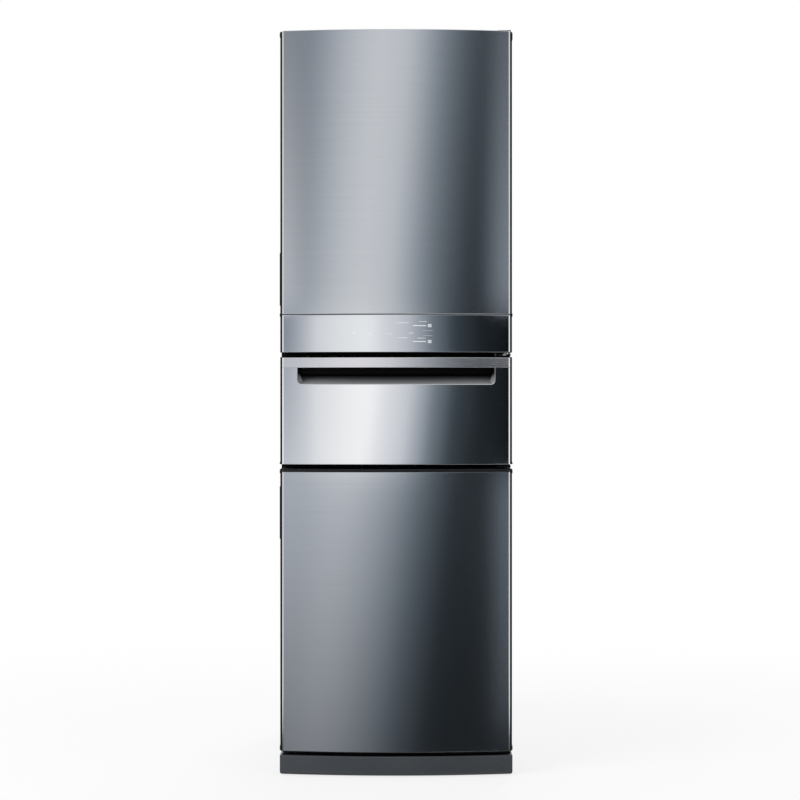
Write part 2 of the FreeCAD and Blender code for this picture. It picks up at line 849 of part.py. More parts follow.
def door_bracket(name, arm_low, flange, pin):
    """Bent bracket on the cabinet's front with a door pin."""
    x = ("hinge_x - bracket_reach_left", "hinge_x + bracket_reach_right")
    plate_y = ("cabinet_front - bracket_flange", "cabinet_front")
    arm_y = ("hinge_y - bracket_nose", "cabinet_front")
    arm = box(f"{name}_arm", x, arm_y, (arm_low, f"{arm_low} + bracket_plate"))
    plate = box(f"{name}_plate", x, plate_y, flange)
    stem = rod(f"{name}_pin", "z", ("hinge_x", "hinge_y"), pin, "pin_radius")
    return fuse(f"{name}_whole", arm, plate, stem)


def front_screw(name, x, z):
    """Screw through a bracket's flange, with its hole."""
    face = "cabinet_front - bracket_flange"
    head = rod(f"{name}_head", "y", (x, z), (f"{face} - screw_head_height", face), "screw_head_radius")
    shank = rod(f"{name}_shank", "y", (x, z), (face, "cabinet_front"), "screw_radius")
    hole_span = (f"{face} - {MARGIN}", f"cabinet_front + {MARGIN}")
    hole = rod(f"{name}_hole", "y", (x, z), hole_span, "screw_radius + running_clearance")
    return fuse(name, head, shank), hole


def make_hinges():
    screws = []
    middle = "upper_divide - bracket_plate / 2"
    lower = "lower_divide - bracket_plate / 2"
    reach = "gasket_margin - bracket_margin"
    screw_x = "hinge_x - bracket_reach_left / 2"
    brackets = (
        (
            "middle_hinge",
            middle,
            (f"drawer_high - ({reach})", f"upper_low + {reach}"),
            (middle, "upper_low + pin_depth"),
            ((screw_x, "upper_divide - screw_offset"), (screw_x, "upper_divide + screw_offset")),
        ),
        (
            "lower_hinge",
            lower,
            (f"freezer_high - ({reach})", f"drawer_low + {reach}"),
            ("freezer_high - pin_depth", "lower_divide"),
            ((screw_x, "lower_divide - screw_offset"), (screw_x, "lower_divide + screw_offset")),
        ),
        (
            "bottom_hinge",
            "base_height",
            ("base_height", f"freezer_low + {reach}"),
            ("base_height", "freezer_low + pin_depth"),
            (
                ("hinge_x - screw_offset", "freezer_low + gasket_margin - screw_head_radius * 2"),
                ("hinge_x", "freezer_low + gasket_margin - screw_head_radius * 2"),
            ),
        ),
    )
    for name, arm_low, flange, pin, places in brackets:
        whole = door_bracket(name, arm_low, flange, pin)
        holes = []
        for i, (x, z) in enumerate(places):
            screw, hole = front_screw(f"{name}_screw_{i}", x, z)
            screws.append(screw)
            holes.append(hole)
        node(cut(name, whole, *holes))

    x = ("hinge_x - bracket_reach_left", "hinge_x + bracket_reach_right")
    plate_y = ("hinge_y - bracket_nose", "cabinet_front + top_plate_length")
    plate_top = "cabinet_top + top_plate"
    plate = box("top_hinge_plate", x, plate_y, ("cabinet_top", plate_top))
    stem_span = ("upper_high - pin_depth", plate_top)
    stem = rod("top_hinge_pin", "z", ("hinge_x", "hinge_y"), stem_span, "pin_radius")
    holes = []
    for i in range(2):
        place = (screw_x, f"cabinet_front + top_plate_length / 2 + ({i} - 1 / 2) * screw_pitch")
        head = rod(
            f"top_screw_{i}_head", "z", place, (plate_top, f"{plate_top} + screw_head_height"), "screw_head_radius"
        )
        shank = rod(f"top_screw_{i}_shank", "z", place, ("cabinet_top", plate_top), "screw_radius")
        screws.append(fuse(f"top_screw_{i}", head, shank))
        hole_span = (f"cabinet_top - {MARGIN}", f"{plate_top} + {MARGIN}")
        holes.append(rod(f"top_screw_{i}_hole", "z", place, hole_span, "screw_radius + running_clearance"))
    node(cut("top_hinge", fuse("top_hinge_whole", plate, stem), *holes))
    node(group("hinge_screws", *screws))

    cover_x = (f"{x[0]} - cover_margin", "half_width")
    cover_y = ("cabinet_front", "cabinet_front + cover_reach")
    cover_z = ("cabinet_top", "cabinet_top + cover_height")
    outside = box("hinge_cover_outside", cover_x, cover_y, cover_z)
    room_x = (f"{cover_x[0]} + cover_wall", "half_width - cover_wall / 2")
    room_y = (f"cabinet_front - {MARGIN}", f"{cover_y[1]} - cover_wall")
    room_z = (f"cabinet_top - {MARGIN}", f"{cover_z[1]} - cover_wall")
    node(cut("top_hinge_cover", outside, box("hinge_cover_room", room_x, room_y, room_z)))


# Parts shared by the doors


def side_trim(name, side, low, high, ears):
    """Side strip of a door with the end caps' ears standing out of it."""
    strip = side_box(f"{name}_strip", side, "skin_half", "half_width", ("trim_front", "door_back"), (low, high))
    ear_y = ("trim_front + ear_setback", "door_back - ear_setback")
    ear_x = ("half_width", "half_width + ear_projection")
    nubs = [side_box(f"{name}_ear_{i}", side, *ear_x, ear_y, z) for i, z in enumerate(ears)]
    return fuse(name, strip, *nubs)


def grip(name, low):
    """Finger cup in the left edge, and the room that it takes in its neighbours."""
    high = f"{low} + grip_height"
    outer = "half_width + ear_projection"
    rear = "grip_front + grip_span"
    inner = "half_width - grip_depth"
    outside = side_box(f"{name}_outside", -1, inner, outer, ("grip_front", rear), (low, high))
    inside = side_box(
        f"{name}_inside",
        -1,
        f"{inner} + grip_wall",
        f"{outer} + {MARGIN}",
        ("grip_front + grip_wall", f"{rear} - grip_wall"),
        (f"{low} + grip_wall", f"{high} - grip_wall"),
    )
    node(cut(name, outside, inside))
    slack = "foam_clearance"
    return side_box(
        f"{name}_room",
        -1,
        f"{inner} - {slack}",
        f"{outer} + {MARGIN}",
        (f"grip_front - {slack}", f"{rear} + {slack}"),
        (f"{low} - {slack}", f"{high} + {slack}"),
    )


def gasket(name, low, high):
    """Seal frame on the back of a front, just clear of the cabinet."""
    y = ("door_back", "cabinet_front - seal_gap")
    half = "half_width - gasket_margin"
    outer = box(f"{name}_outer", centred(half), y, (f"{low} + gasket_margin", f"{high} - gasket_margin"))
    inner = box(
        f"{name}_inner",
        centred(f"{half} - gasket_width"),
        (f"door_back - {MARGIN}", f"cabinet_front + {MARGIN}"),
        (f"{low} + gasket_margin + gasket_width", f"{high} - gasket_margin - gasket_width"),
    )
    node(cut(name, outer, inner))


def liner_plate(name, low, high, dyke_low, dyke_high, dyke):
    """Inner panel of a door with a raised frame that reaches into the cabinet."""
    plate = box(f"{name}_plate", centred("skin_half"), ("liner_face", "door_back"), (low, high))
    frame = box(
        f"{name}_frame_outer", centred("dyke_half"), ("door_back", f"door_back + {dyke}"), (dyke_low, dyke_high)
    )
    opening = box(
        f"{name}_frame_inner",
        centred("dyke_half - dyke_width"),
        ("door_back", f"door_back + {dyke} + {MARGIN}"),
        (f"{dyke_low} + dyke_width", f"{dyke_high} - dyke_width"),
    )
    return fuse(f"{name}_whole", plate, cut(f"{name}_frame", frame, opening))


def pin_bore(name, low, high):
    return rod(name, "z", ("hinge_x", "hinge_y"), (low, high), "bore_radius")


# Upper door


def make_upper_skin(room):
    skin_low = "control_high + panel_seam"
    sheet_body = bowed_sheet(
        "upper_sheet", skin_low, "upper_high", "skin_half", "skin_thickness", "liner_face", "skin_thickness"
    )
    roof_cut = new_sketch(sheet_body, "upper_sheet_roof", "XY_Plane", "roof_level")
    reach = f"skin_half + {MARGIN}"
    back = f"liner_face + {MARGIN}"
    roof_rear = "door_front + top_return"
    outline(roof_cut, [(f"-({reach})", roof_rear), (reach, roof_rear), (reach, back), (f"-({reach})", back)])
    last = pocket(sheet_body, roof_cut, f"upper_high - roof_level + {MARGIN}")
    top = value("upper_high")
    rear_line = value(roof_rear)
    rounded = []
    for i, edge in enumerate(last.Shape.Edges, 1):
        at_top = all(abs(corner.Z - top) < TOLERANCE for corner in edge.Vertexes)
        at_rear = all(abs(corner.Y - rear_line) < TOLERANCE for corner in edge.Vertexes)
        if at_top and not at_rear:
            rounded.append(f"Edge{i}")
    rounding = sheet_body.newObject("PartDesign::Fillet", "upper_sheet_round")
    rounding.Base = (last, rounded)
    rounding.setExpression("Radius", bind("skin_top_round"))
    node(cut("upper_door_skin", sheet_body, room))


def make_upper_door():
    room = grip("upper_door_grip", "upper_grip_low")
    make_upper_skin(room)

    core_low = "control_high + foam_clearance"
    cap_low = "upper_high - cap_height"
    core_half = "skin_half - core_inset"
    core = bowed_body(
        "upper_core_slab", core_low, f"{cap_low} - foam_clearance", core_half, "core_inset", "liner_face"
    )
    node(cut("upper_door_core", core, room))

    cap = bowed_body("upper_cap_slab", cap_low, "roof_level", core_half, "core_inset", "liner_face")
    bore = pin_bore("upper_cap_bore", "upper_high - bore_depth", f"upper_high + {MARGIN}")
    seam_ear = ("control_high - ear_drop", "control_high + ear_drop")
    top_ear = ("upper_high - ear_drop - ear_height", "upper_high - ear_drop")
    hinge_ear = ("upper_high - ear_drop - hinge_ear_height", "upper_high - ear_drop")
    left = side_trim("upper_trim_left", -1, "upper_low", "roof_level", (seam_ear, top_ear))
    right = side_trim("upper_trim_right", 1, "upper_low", "roof_level", (seam_ear, hinge_ear))
    left_cut = cut("upper_trim_left_cut", left, room)
    node(group("upper_door_edge_trims", left_cut, right, cut("upper_door_cap", cap, bore)))

    glass_low = "upper_low + panel_seam / 2"
    glass_high = "control_high - panel_seam / 2"
    glass_rear = "door_front + control_glass_return"
    glass = bowed_sheet(
        "control_glass", glass_low, glass_high, "skin_half", "control_glass_thickness", glass_rear
    )
    node(glass)
    inset = "control_glass_thickness + foam_clearance"
    front = bowed_body(
        "control_front", "upper_low", "control_high", f"skin_half - ({inset})", inset, "liner_face"
    )
    rear_y = (f"{glass_rear} + foam_clearance", "liner_face")
    rear = box("control_rear", centred("skin_half"), rear_y, ("upper_low", "control_high"))
    housing_bore = pin_bore("control_bore", f"upper_low - {MARGIN}", "upper_low + bore_depth")
    node(cut("control_housing", fuse("control_whole", front, rear), housing_bore))

    whole = liner_plate(
        "upper_liner", "upper_low", "roof_level", "upper_dyke_low", "upper_dyke_high", "dyke_height"
    )
    sockets = []
    socket = ("bin_half", "bin_half + bin_clearance + lid_pin_length + bore_spare")
    for side, word in ((-1, "left"), (1, "right")):
        span = socket if side > 0 else (f"-({socket[1]})", f"-({socket[0]})")
        sockets.append(
            rod(f"lid_socket_{word}", "x", ("lid_y", "lid_z"), span, "lid_pin_radius + running_clearance")
        )
    node(cut("upper_door_liner", whole, *sockets))
    gasket("upper_door_gasket", "upper_low", "upper_high")
    make_bins()


def door_bin(name, low, height):
    x = centred("bin_half")
    y = ("door_back", "bin_front")
    return tub(name, x, y, (low, f"{low} + {height}"), "bin_wall", "bin_floor", "bin_corner")


def make_bins():
    plain = [door_bin(f"door_bin_{i}", f"first_bin_low + {i} * bin_pitch", "bin_height") for i in range(2)]
    node(group("door_bins", *plain))
    node(door_bin("bottle_bin", "upper_dyke_low + dyke_width + bin_clearance", "bottle_bin_height"))
    node(door_bin("dairy_bin", "dairy_low", "dairy_bin_height"))

    lid_half = "bin_half - bin_clearance"
    half_thick = "lid_thickness / 2"
    leaf = box(
        "dairy_leaf",
        centred(lid_half),
        ("lid_y", "bin_front"),
        (f"lid_z - {half_thick}", f"lid_z + {half_thick}"),
    )
    barrel = rod("dairy_barrel", "x", ("lid_y", "lid_z"), centred(lid_half), "lid_barrel_radius")
    pin_reach = centred("bin_half + bin_clearance + lid_pin_length")
    pins = rod("dairy_pins", "x", ("lid_y", "lid_z"), pin_reach, "lid_pin_radius")
    node(fuse("dairy_lid", leaf, barrel, pins))


# Middle drawer


def make_drawer_front():
    sheet_body = bowed_sheet(
        "drawer_sheet", "drawer_low", "bar_low - panel_seam / 2", "skin_half", "skin_thickness", "liner_face"
    )
    window = doc.addObject("PartDesign::Body", "handle_window")
    sketch = new_sketch(window, "handle_window_outline", "XZ_Plane", "-door_front")
    rounded_profile(sketch, centred("handle_half"), ("handle_low", "handle_high"), "handle_corner")
    window_pad = pad(window, sketch, f"2 * (door_bulge + top_return + {MARGIN})")
    window_pad.Midplane = True
    node(cut("drawer_skin", sheet_body, window))

    bar = bowed_sheet(
        "drawer_bar", "bar_low", "drawer_high", "skin_half", "bar_thickness", "liner_face", "bar_thickness"
    )
    node(bar)

    inset = "bar_thickness + foam_clearance"
    cup_x = centred("handle_half + handle_wall")
    cup_z = ("handle_low - handle_wall", "handle_high + handle_wall")
    cup_y = ("front_apex", "handle_rear + handle_wall")
    cup_box = box("handle_cup_box", cup_x, cup_y, cup_z)
    bow = rod("handle_bow", "z", ("0", "bow_centre"), cup_z, f"bow_radius - ({inset})")
    scoop = doc.addObject("PartDesign::Body", "handle_scoop")
    section = new_sketch(scoop, "handle_section", "YZ_Plane", "0")
    lip_rear = "front_apex + door_bulge + handle_wall"
    outline(
        section,
        [
            (f"front_apex - {MARGIN}", "handle_low"),
            (lip_rear, "handle_low"),
            ("handle_rear", "handle_low + handle_slope"),
            ("handle_rear", "handle_high"),
            (f"{lip_rear} + handle_wall", "handle_high"),
            (f"{lip_rear} + handle_wall", "bar_low"),
            (f"front_apex - {MARGIN}", "bar_low"),
        ],
    )
    scoop_pad = pad(scoop, section, "handle_width")
    scoop_pad.Midplane = True
    node(cut("drawer_handle_cup", common("handle_cup_whole", cup_box, bow), scoop))

    slack = "foam_clearance"
    cap_high = "drawer_low + drawer_cap_height"
    core = bowed_body(
        "drawer_core_slab",
        f"{cap_high} + {slack}",
        f"drawer_high - bar_thickness - {slack}",
        f"skin_half - ({inset})",
        inset,
        "liner_face",
    )
    cup_room = box(
        "handle_cup_room",
        centred(f"handle_half + handle_wall + {slack}"),
        (f"front_apex - {MARGIN}", f"handle_rear + handle_wall + {slack}"),
        (f"handle_low - handle_wall - {slack}", f"handle_high + handle_wall + {slack}"),
    )
    node(cut("drawer_core", core, cup_room))

    cap = bowed_body(
        "drawer_cap", "drawer_low", cap_high, "skin_half - core_inset", "core_inset", "liner_face"
    )
    ears = (("drawer_low", "drawer_low + ear_height / 2"),)
    left = side_trim("drawer_trim_left", -1, "drawer_low", "drawer_high", ears)
    right = side_trim("drawer_trim_right", 1, "drawer_low", "drawer_high", ears)
    node(group("drawer_edge_trims", left, right, cap))
    panel_y = ("liner_face", "door_back")
    node(box("drawer_inner_panel", centred("skin_half"), panel_y, ("drawer_low", "drawer_high")))
    gasket("drawer_gasket", "drawer_low", "drawer_high")


def make_drawer_bin():
    low = "drawer_floor + drawer_bin_rise"
    node(
        tub(
            "drawer_bin",
            centred("drawer_bin_half"),
            ("door_back", "door_back + drawer_bin_length"),
            (low, f"{low} + drawer_bin_height"),
            "drawer_bin_wall",
            "drawer_bin_wall",
            "drawer_bin_corner",
        )
    )


def channel(name, side, opening, web, half_height):
    """Rail of channel section along y: its web is at one distance from the middle, its lips at another."""
    y = ("rail_front", "rail_rear")
    z = (f"rail_z - ({half_height})", f"rail_z + {half_height}")
    outside = side_box(f"{name}_outside", side, opening[0], opening[1], y, z)
    room_y = (f"rail_front - {MARGIN}", f"rail_rear + {MARGIN}")
    room_z = (f"rail_z - ({half_height}) + rail_sheet", f"rail_z + {half_height} - rail_sheet")
    inside = side_box(f"{name}_inside", side, web[0], web[1], room_y, room_z)
    return cut(name, outside, inside)


def make_rails():
    fixed = []
    middle = []
    moving = []
    step = "rail_sheet + rail_clearance"
    for side, word in ((-1, "left"), (1, "right")):
        wall = "cavity_half"
        mouth = "cavity_half - rail_depth"
        fixed.append(
            channel(
                f"rail_fixed_{word}",
                side,
                (mouth, wall),
                (f"{mouth} - {MARGIN}", f"{wall} - rail_sheet"),
                "rail_height / 2",
            )
        )
        middle_wall = f"{wall} - ({step})"
        middle_mouth = f"{mouth} - rail_sheet"
        middle.append(
            channel(
                f"rail_middle_{word}",
                side,
                (middle_mouth, middle_wall),
                (f"{middle_mouth} - {MARGIN}", f"{middle_wall} - rail_sheet"),
                f"rail_height / 2 - ({step})",
            )
        )
        moving_wall = f"{middle_wall} - ({step})"
        moving.append(
            channel(
                f"rail_moving_{word}",
                side,
                ("drawer_bin_half", moving_wall),
                ("drawer_bin_half + rail_sheet", f"{moving_wall} + {MARGIN}"),
                f"rail_height / 2 - 2 * ({step})",
            )
        )
    node(group("drawer_rails_fixed", *fixed))
    node(group("drawer_rails_middle", *middle))
    node(group("drawer_rails_moving", *moving))


# Freezer door


def make_freezer_door():
    room = grip("freezer_door_grip", "freezer_grip_low")
    skin_high = "freezer_high - cap_rim"
    sheet_body = bowed_sheet(
        "freezer_sheet", "freezer_low", skin_high, "skin_half", "skin_thickness", "liner_face"
    )
    node(cut("freezer_door_skin", sheet_body, room))

    slack = "foam_clearance"
    core_half = "skin_half - core_inset"
    top_low = "freezer_high - cap_height"
    bottom_high = "freezer_low + cap_height"
    core = bowed_body(
        "freezer_core_slab",
        f"{bottom_high} + {slack}",
        f"{top_low} - {slack}",
        core_half,
        "core_inset",
        "liner_face",
    )
    node(cut("freezer_door_core", core, room))

    rim = bowed_body(
        "freezer_cap_rim", f"{skin_high} + {slack}", "freezer_high", "skin_half", "0", "liner_face"
    )
    plug = bowed_body("freezer_cap_plug", top_low, "freezer_high", core_half, "core_inset", "liner_face")
    top_bore = pin_bore("freezer_top_bore", "freezer_high - bore_depth", f"freezer_high + {MARGIN}")
    top_cap = cut("freezer_top_cap", fuse("freezer_top_whole", rim, plug), top_bore)
    bottom = bowed_body(
        "freezer_bottom_plug", "freezer_low", bottom_high, core_half, "core_inset", "liner_face"
    )
    low_bore = pin_bore("freezer_low_bore", f"freezer_low - {MARGIN}", "freezer_low + bore_depth")
    bottom_cap = cut("freezer_bottom_cap", bottom, low_bore)
    ears = (
        ("freezer_low + ear_drop / 2", "freezer_low + ear_drop / 2 + ear_height"),
        ("freezer_high - ear_drop / 2 - ear_height", "freezer_high - ear_drop / 2"),
    )
    left = side_trim("freezer_trim_left", -1, "freezer_low", "freezer_high", ears)
    right = side_trim("freezer_trim_right", 1, "freezer_low", "freezer_high", ears)
    left_cut = cut("freezer_trim_left_cut", left, room)
    node(group("freezer_door_edge_trims", left_cut, right, top_cap, bottom_cap))

    dyke_low = "freezer_floor + dyke_rise"
    dyke_high = "freezer_ceiling - dyke_rise"
    whole = liner_plate(
        "freezer_liner_panel", "freezer_low", "freezer_high", dyke_low, dyke_high, "freezer_dyke_height"
    )
    whole.Label = "freezer_door_liner"
    node(whole)
    gasket("freezer_door_gasket", "freezer_low", "freezer_high")


# Fridge compartment


def make_fridge_fittings():
    shelf_half = "cavity_half - shelf_clearance"
    panes = []
    for i, level in enumerate(shelf_levels()):
        z = (level, f"{level} + shelf_thickness")
        panes.append(box(f"shelf_pane_{i}", centred(shelf_half), ("shelf_front", "shelf_rear"), z))
    node(group("fridge_shelves", *panes))

    crisper_half = "cavity_half - rib_width - crisper_clearance"
    crisper_z = ("fridge_floor", "fridge_floor + crisper_height")
    node(
        tub(
            "crisper_drawer",
            centred(crisper_half),
            ("shelf_front", "shelf_rear"),
            crisper_z,
            "crisper_wall",
            "crisper_floor",
            "crisper_corner",
        )
    )

    duct_y = ("cavity_rear - duct_depth", "cavity_rear")
    duct_z = ("first_shelf", "fridge_ceiling - duct_margin")
    column = box("duct_column", centred("duct_width / 2"), duct_y, duct_z)
    slots = []
    for i, level in enumerate(shelf_levels()):
        slot_low = f"{level} + shelf_pitch / 2"
        slot_y = (f"cavity_rear - duct_depth - {MARGIN}", "cavity_rear - duct_depth + duct_slot_depth")
        slot_z = (slot_low, f"{slot_low} + duct_slot_height")
        for side, word in ((-1, "left"), (1, "right")):
            reach = ("duct_width / 4 - duct_slot_width / 2", "duct_width / 4 + duct_slot_width / 2")
            slots.append(side_box(f"duct_slot_{i}_{word}", side, *reach, slot_y, slot_z))
    node(cut("air_duct", column, *slots))

    lamp_y = ("lamp_front", "lamp_front + lamp_length")
    lamp_z = ("fridge_ceiling - lamp_height", "fridge_ceiling")
    lamp = box("lamp_body", centred("lamp_width / 2"), lamp_y, lamp_z)
    switch_tip = "door_back + seal_gap"
    bore_span = (f"lamp_front - {MARGIN}", f"{switch_tip} + switch_length + bore_spare")
    bore = rod("switch_bore", "y", ("0", "switch_z"), bore_span, "switch_radius + running_clearance")
    node(cut("fridge_lamp", lamp, bore))
    plunger_span = (switch_tip, f"{switch_tip} + switch_length")
    node(rod("door_switch", "y", ("0", "switch_z"), plunger_span, "switch_radius"))


# Freezer compartment


def make_freezer_fittings():
    half = "freezer_drawer_half + rib_width / 2"
    front = "freezer_drawer_front"
    back = "cover_front - freezer_drawer_gap"
    drawers = []
    for i in range(2):
        level = f"first_freezer_level + {i} * freezer_drawer_pitch"
        drawers.append(
            tub(
                f"freezer_drawer_{i}",
                centred(half),
                (front, back),
                (level, f"{level} + freezer_drawer_height"),
                "freezer_drawer_wall",
                "freezer_drawer_wall",
                "freezer_drawer_corner",
            )
        )
    node(group("freezer_drawers", *drawers))
    node(
        tub(
            "freezer_bottom_drawer",
            centred(half),
            (front, "hump_front - freezer_drawer_gap"),
            ("freezer_floor", "freezer_floor + bottom_drawer_height"),
            "freezer_drawer_wall",
            "freezer_drawer_wall",
            "freezer_drawer_corner",
        )
    )
    make_evaporator()
    make_evaporator_cover()
    make_fan()


def make_evaporator():
    rear = "cavity_rear - seal_gap"
    front = "cavity_rear - evaporator_depth"
    low = "hump_top + evaporator_rise"
    high = f"{low} + evaporator_height"
    fins = []
    count = int(value("fin_count"))
    for i in range(count):
        middle = f"({i} / {count - 1} - 1 / 2) * (evaporator_width - fin_thickness)"
        x = (f"{middle} - fin_thickness / 2", f"{middle} + fin_thickness / 2")
        fins.append(box(f"fin_{i}", x, (front, rear), (low, high)))
    tubes = []
    rows = int(value("coil_rows"))
    for i in range(rows):
        z = f"{low} + ({i} + 1 / 2) * evaporator_height / {rows}"
        for j, share in enumerate(("1 / 4", "3 / 4")):
            y = f"{front} + evaporator_depth * {share}"
            tubes.append(rod(f"coil_{i}_{j}", "x", (y, z), centred("evaporator_width / 2"), "coil_radius"))
    node(fuse("evaporator", *fins, *tubes))


def make_evaporator_cover():
    sheet_y = ("cover_front", "cover_front + cover_sheet")
    sheet_z = ("hump_top", "freezer_ceiling - cover_edge")
    panel = box("cover_panel", centred("cavity_half - cover_edge"), sheet_y, sheet_z)
    arm_x = "fan_radius + fan_gap"
    arm_y = ("cover_front", "motor_front + motor_arm")
    arm_z = ("fan_z - motor_arm_height / 2", "fan_z + motor_arm_height / 2")
    arms = [
        side_box(f"motor_arm_{word}", side, arm_x, f"{arm_x} + motor_arm", arm_y, arm_z)
        for side, word in ((-1, "left"), (1, "right"))
    ]
    bridge_y = ("motor_front", "motor_front + motor_arm")
    bridge = box("motor_bridge", centred(f"{arm_x} + motor_arm"), bridge_y, arm_z)
    motor_span = ("motor_front", "motor_front + motor_length")
    motor = rod("fan_motor", "y", ("0", "fan_z"), motor_span, "motor_radius")
    shaft_span = ("fan_front + motor_gap", "motor_front")
    shaft = rod("fan_shaft", "y", ("0", "fan_z"), shaft_span, "shaft_radius")
    count = int(value("vent_count"))
    slot_y = (f"cover_front - {MARGIN}", "cover_front + cover_sheet")
    slots = []
    for i in range(count):
        middle = f"({i} - {count - 1} / 2) * vent_pitch"
        x = (f"{middle} - vent_width / 2", f"{middle} + vent_width / 2")
        z = ("fan_z - vent_height / 2", "fan_z + vent_height / 2")
        slots.append(box(f"vent_{i}", x, slot_y, z))
    grille = cut("cover_grille", panel, *slots)
    node(fuse("evaporator_cover", grille, *arms, bridge, motor, shaft))


def blade_section(radius, pitch):
    """Blade outline at one radius, in the fan's own frame: x out along the blade, y along the shaft."""
    half_chord = value("fan_chord") / 2
    half_thick = value("fan_blade_thickness") / 2
    corners = []
    for along, thick in ((-1, -1), (1, -1), (1, 1), (-1, 1)):
        reach = along * half_chord
        off = thick * half_thick
        y = reach * math.sin(pitch) + off * math.cos(pitch)
        z = reach * math.cos(pitch) - off * math.sin(pitch)
        corners.append(FreeCAD.Vector(radius, y, z))
    return Part.makePolygon(corners + corners[:1])


def make_fan():
    hub_radius = value("fan_hub_radius")
    depth = value("fan_depth")
    axis = FreeCAD.Vector(0, 1, 0)
    hub = Part.makeCylinder(hub_radius, depth, FreeCAD.Vector(0, -depth / 2, 0), axis)
    inner = blade_section(hub_radius / 2, math.radians(value("fan_root_pitch")))
    outer = blade_section(value("fan_radius"), math.radians(value("fan_tip_pitch")))
    blade = Part.makeLoft([inner, outer], True, True)
    count = int(value("fan_blade_count"))
    blades = []
    for i in range(count):
        turned_blade = blade.copy()
        turned_blade.rotate(FreeCAD.Vector(), axis, 360 / count * i)
        blades.append(turned_blade)
    whole = hub.multiFuse(blades)
    hole_radius = value("shaft_radius + running_clearance")
    hole = Part.makeCylinder(hole_radius, 2 * depth, FreeCAD.Vector(0, -depth, 0), axis)
    limit = Part.makeCylinder(value("fan_radius"), depth, FreeCAD.Vector(0, -depth / 2, 0), axis)
    fan = doc.addObject("Part::Feature", "evaporator_fan")
    fan.Shape = whole.cut(hole).common(limit)
    place = FreeCAD.Vector(0, value("fan_front") + depth / 2, value("fan_z"))
    fan.Placement = FreeCAD.Placement(place, FreeCAD.Rotation())
    node(fan)


# Machinery at the rear


def dome(name, level, rise):
    solid = doc.addObject("Part::Ellipsoid", name)
    solid.setExpression("Radius1", bind(rise))
    solid.setExpression("Radius2", bind("compressor_radius"))
    solid.setExpression("Radius3", bind("compressor_radius"))
    for letter, formula in zip("xyz", ("compressor_offset", "machine_y", level)):
        solid.setExpression(f"Placement.Base.{letter}", bind(formula))
    return solid


def make_compressor():
    middle = ("compressor_offset", "machine_y")
    wall = rod("pot_wall", "z", middle, ("pot_wall_low", "pot_wall_high"), "compressor_radius")
    seam_z = ("pot_mid - compressor_seam_height / 2", "pot_mid + compressor_seam_height / 2")
    seam = rod("pot_seam", "z", middle, seam_z, "compressor_radius + compressor_seam")
    boss_z = ("pot_wall_high", "pot_top")
    boss = rod("pot_boss", "z", middle, boss_z, "compressor_boss")
    plate = box(
        "pot_plate",
        ("compressor_offset - foot_plate_length / 2", "compressor_offset + foot_plate_length / 2"),
        ("machine_y - foot_plate_width / 2", "machine_y + foot_plate_width / 2"),
        ("pot_low", "pot_low + foot_plate_thickness"),
    )
    stub_end = "compressor_offset + compressor_radius + stub_length"
    stub = rod("pot_stub", "x", ("machine_y", "pot_wall_high"), ("compressor_offset", stub_end), "tube_radius")
    suction_x = "compressor_offset - compressor_radius - suction_reach"
    suction_run = rod(
        "suction_run",
        "x",
        ("machine_y", "pot_wall_high"),
        (f"{suction_x} - suction_radius", "compressor_offset"),
        "suction_radius",
    )
    suction_rise = rod(
        "suction_rise",
        "z",
        (suction_x, "machine_y"),
        ("pot_wall_high", "niche_top - pan_thickness"),
        "suction_radius",
    )
    domes = [
        dome("pot_dome", "pot_wall_high", "compressor_dome"),
        dome("pot_sump", "pot_wall_low", "compressor_sump"),
    ]
    node(fuse("compressor", wall, seam, boss, plate, stub, suction_run, suction_rise, *domes))

    node(
        tub(
            "drip_tray",
            ("compressor_offset - tray_half_length", "compressor_offset + tray_half_length"),
            ("machine_y - tray_half_width", "machine_y + tray_half_width"),
            ("pot_top", "pot_top + tray_height"),
            "tray_wall",
            "tray_wall",
            "tray_corner",
        )
    )


def bent_path(points, bend):
    """Wire through points, with each corner rounded as far as its shorter run allows."""
    edges = []
    start = points[0]
    for before, corner, after in zip(points, points[1:], points[2:]):
        arrive = (corner - before).normalize()
        leave = (after - corner).normalize()
        shorter = min((corner - before).Length, (after - corner).Length)
        radius = min(bend, 0.49 * shorter)
        entry = corner - arrive * radius
        departure = corner + leave * radius
        centre = entry + leave * radius
        inward = (corner - centre).normalize()
        edges.append(Part.LineSegment(start, entry).toShape())
        edges.append(Part.Arc(entry, centre + inward * radius, departure).toShape())
        start = departure
    edges.append(Part.LineSegment(start, points[-1]).toShape())
    return Part.Wire(edges)


def tube(name, points):
    """Round tube along a bent path; its volume is printed beside its section times its length."""
    path = bent_path(points, value("bend_radius"))
    radius = value("tube_radius")
    circle = Part.Circle(points[0], points[1] - points[0], radius)
    solid = doc.addObject("Part::Feature", name)
    solid.Shape = path.makePipeShell([Part.Wire([circle.toShape()])], True, False)
    expected = math.pi * radius**2 * path.Length
    print(f"{name}: volume {solid.Shape.Volume:.0f}, section times length {expected:.0f}")
    return solid


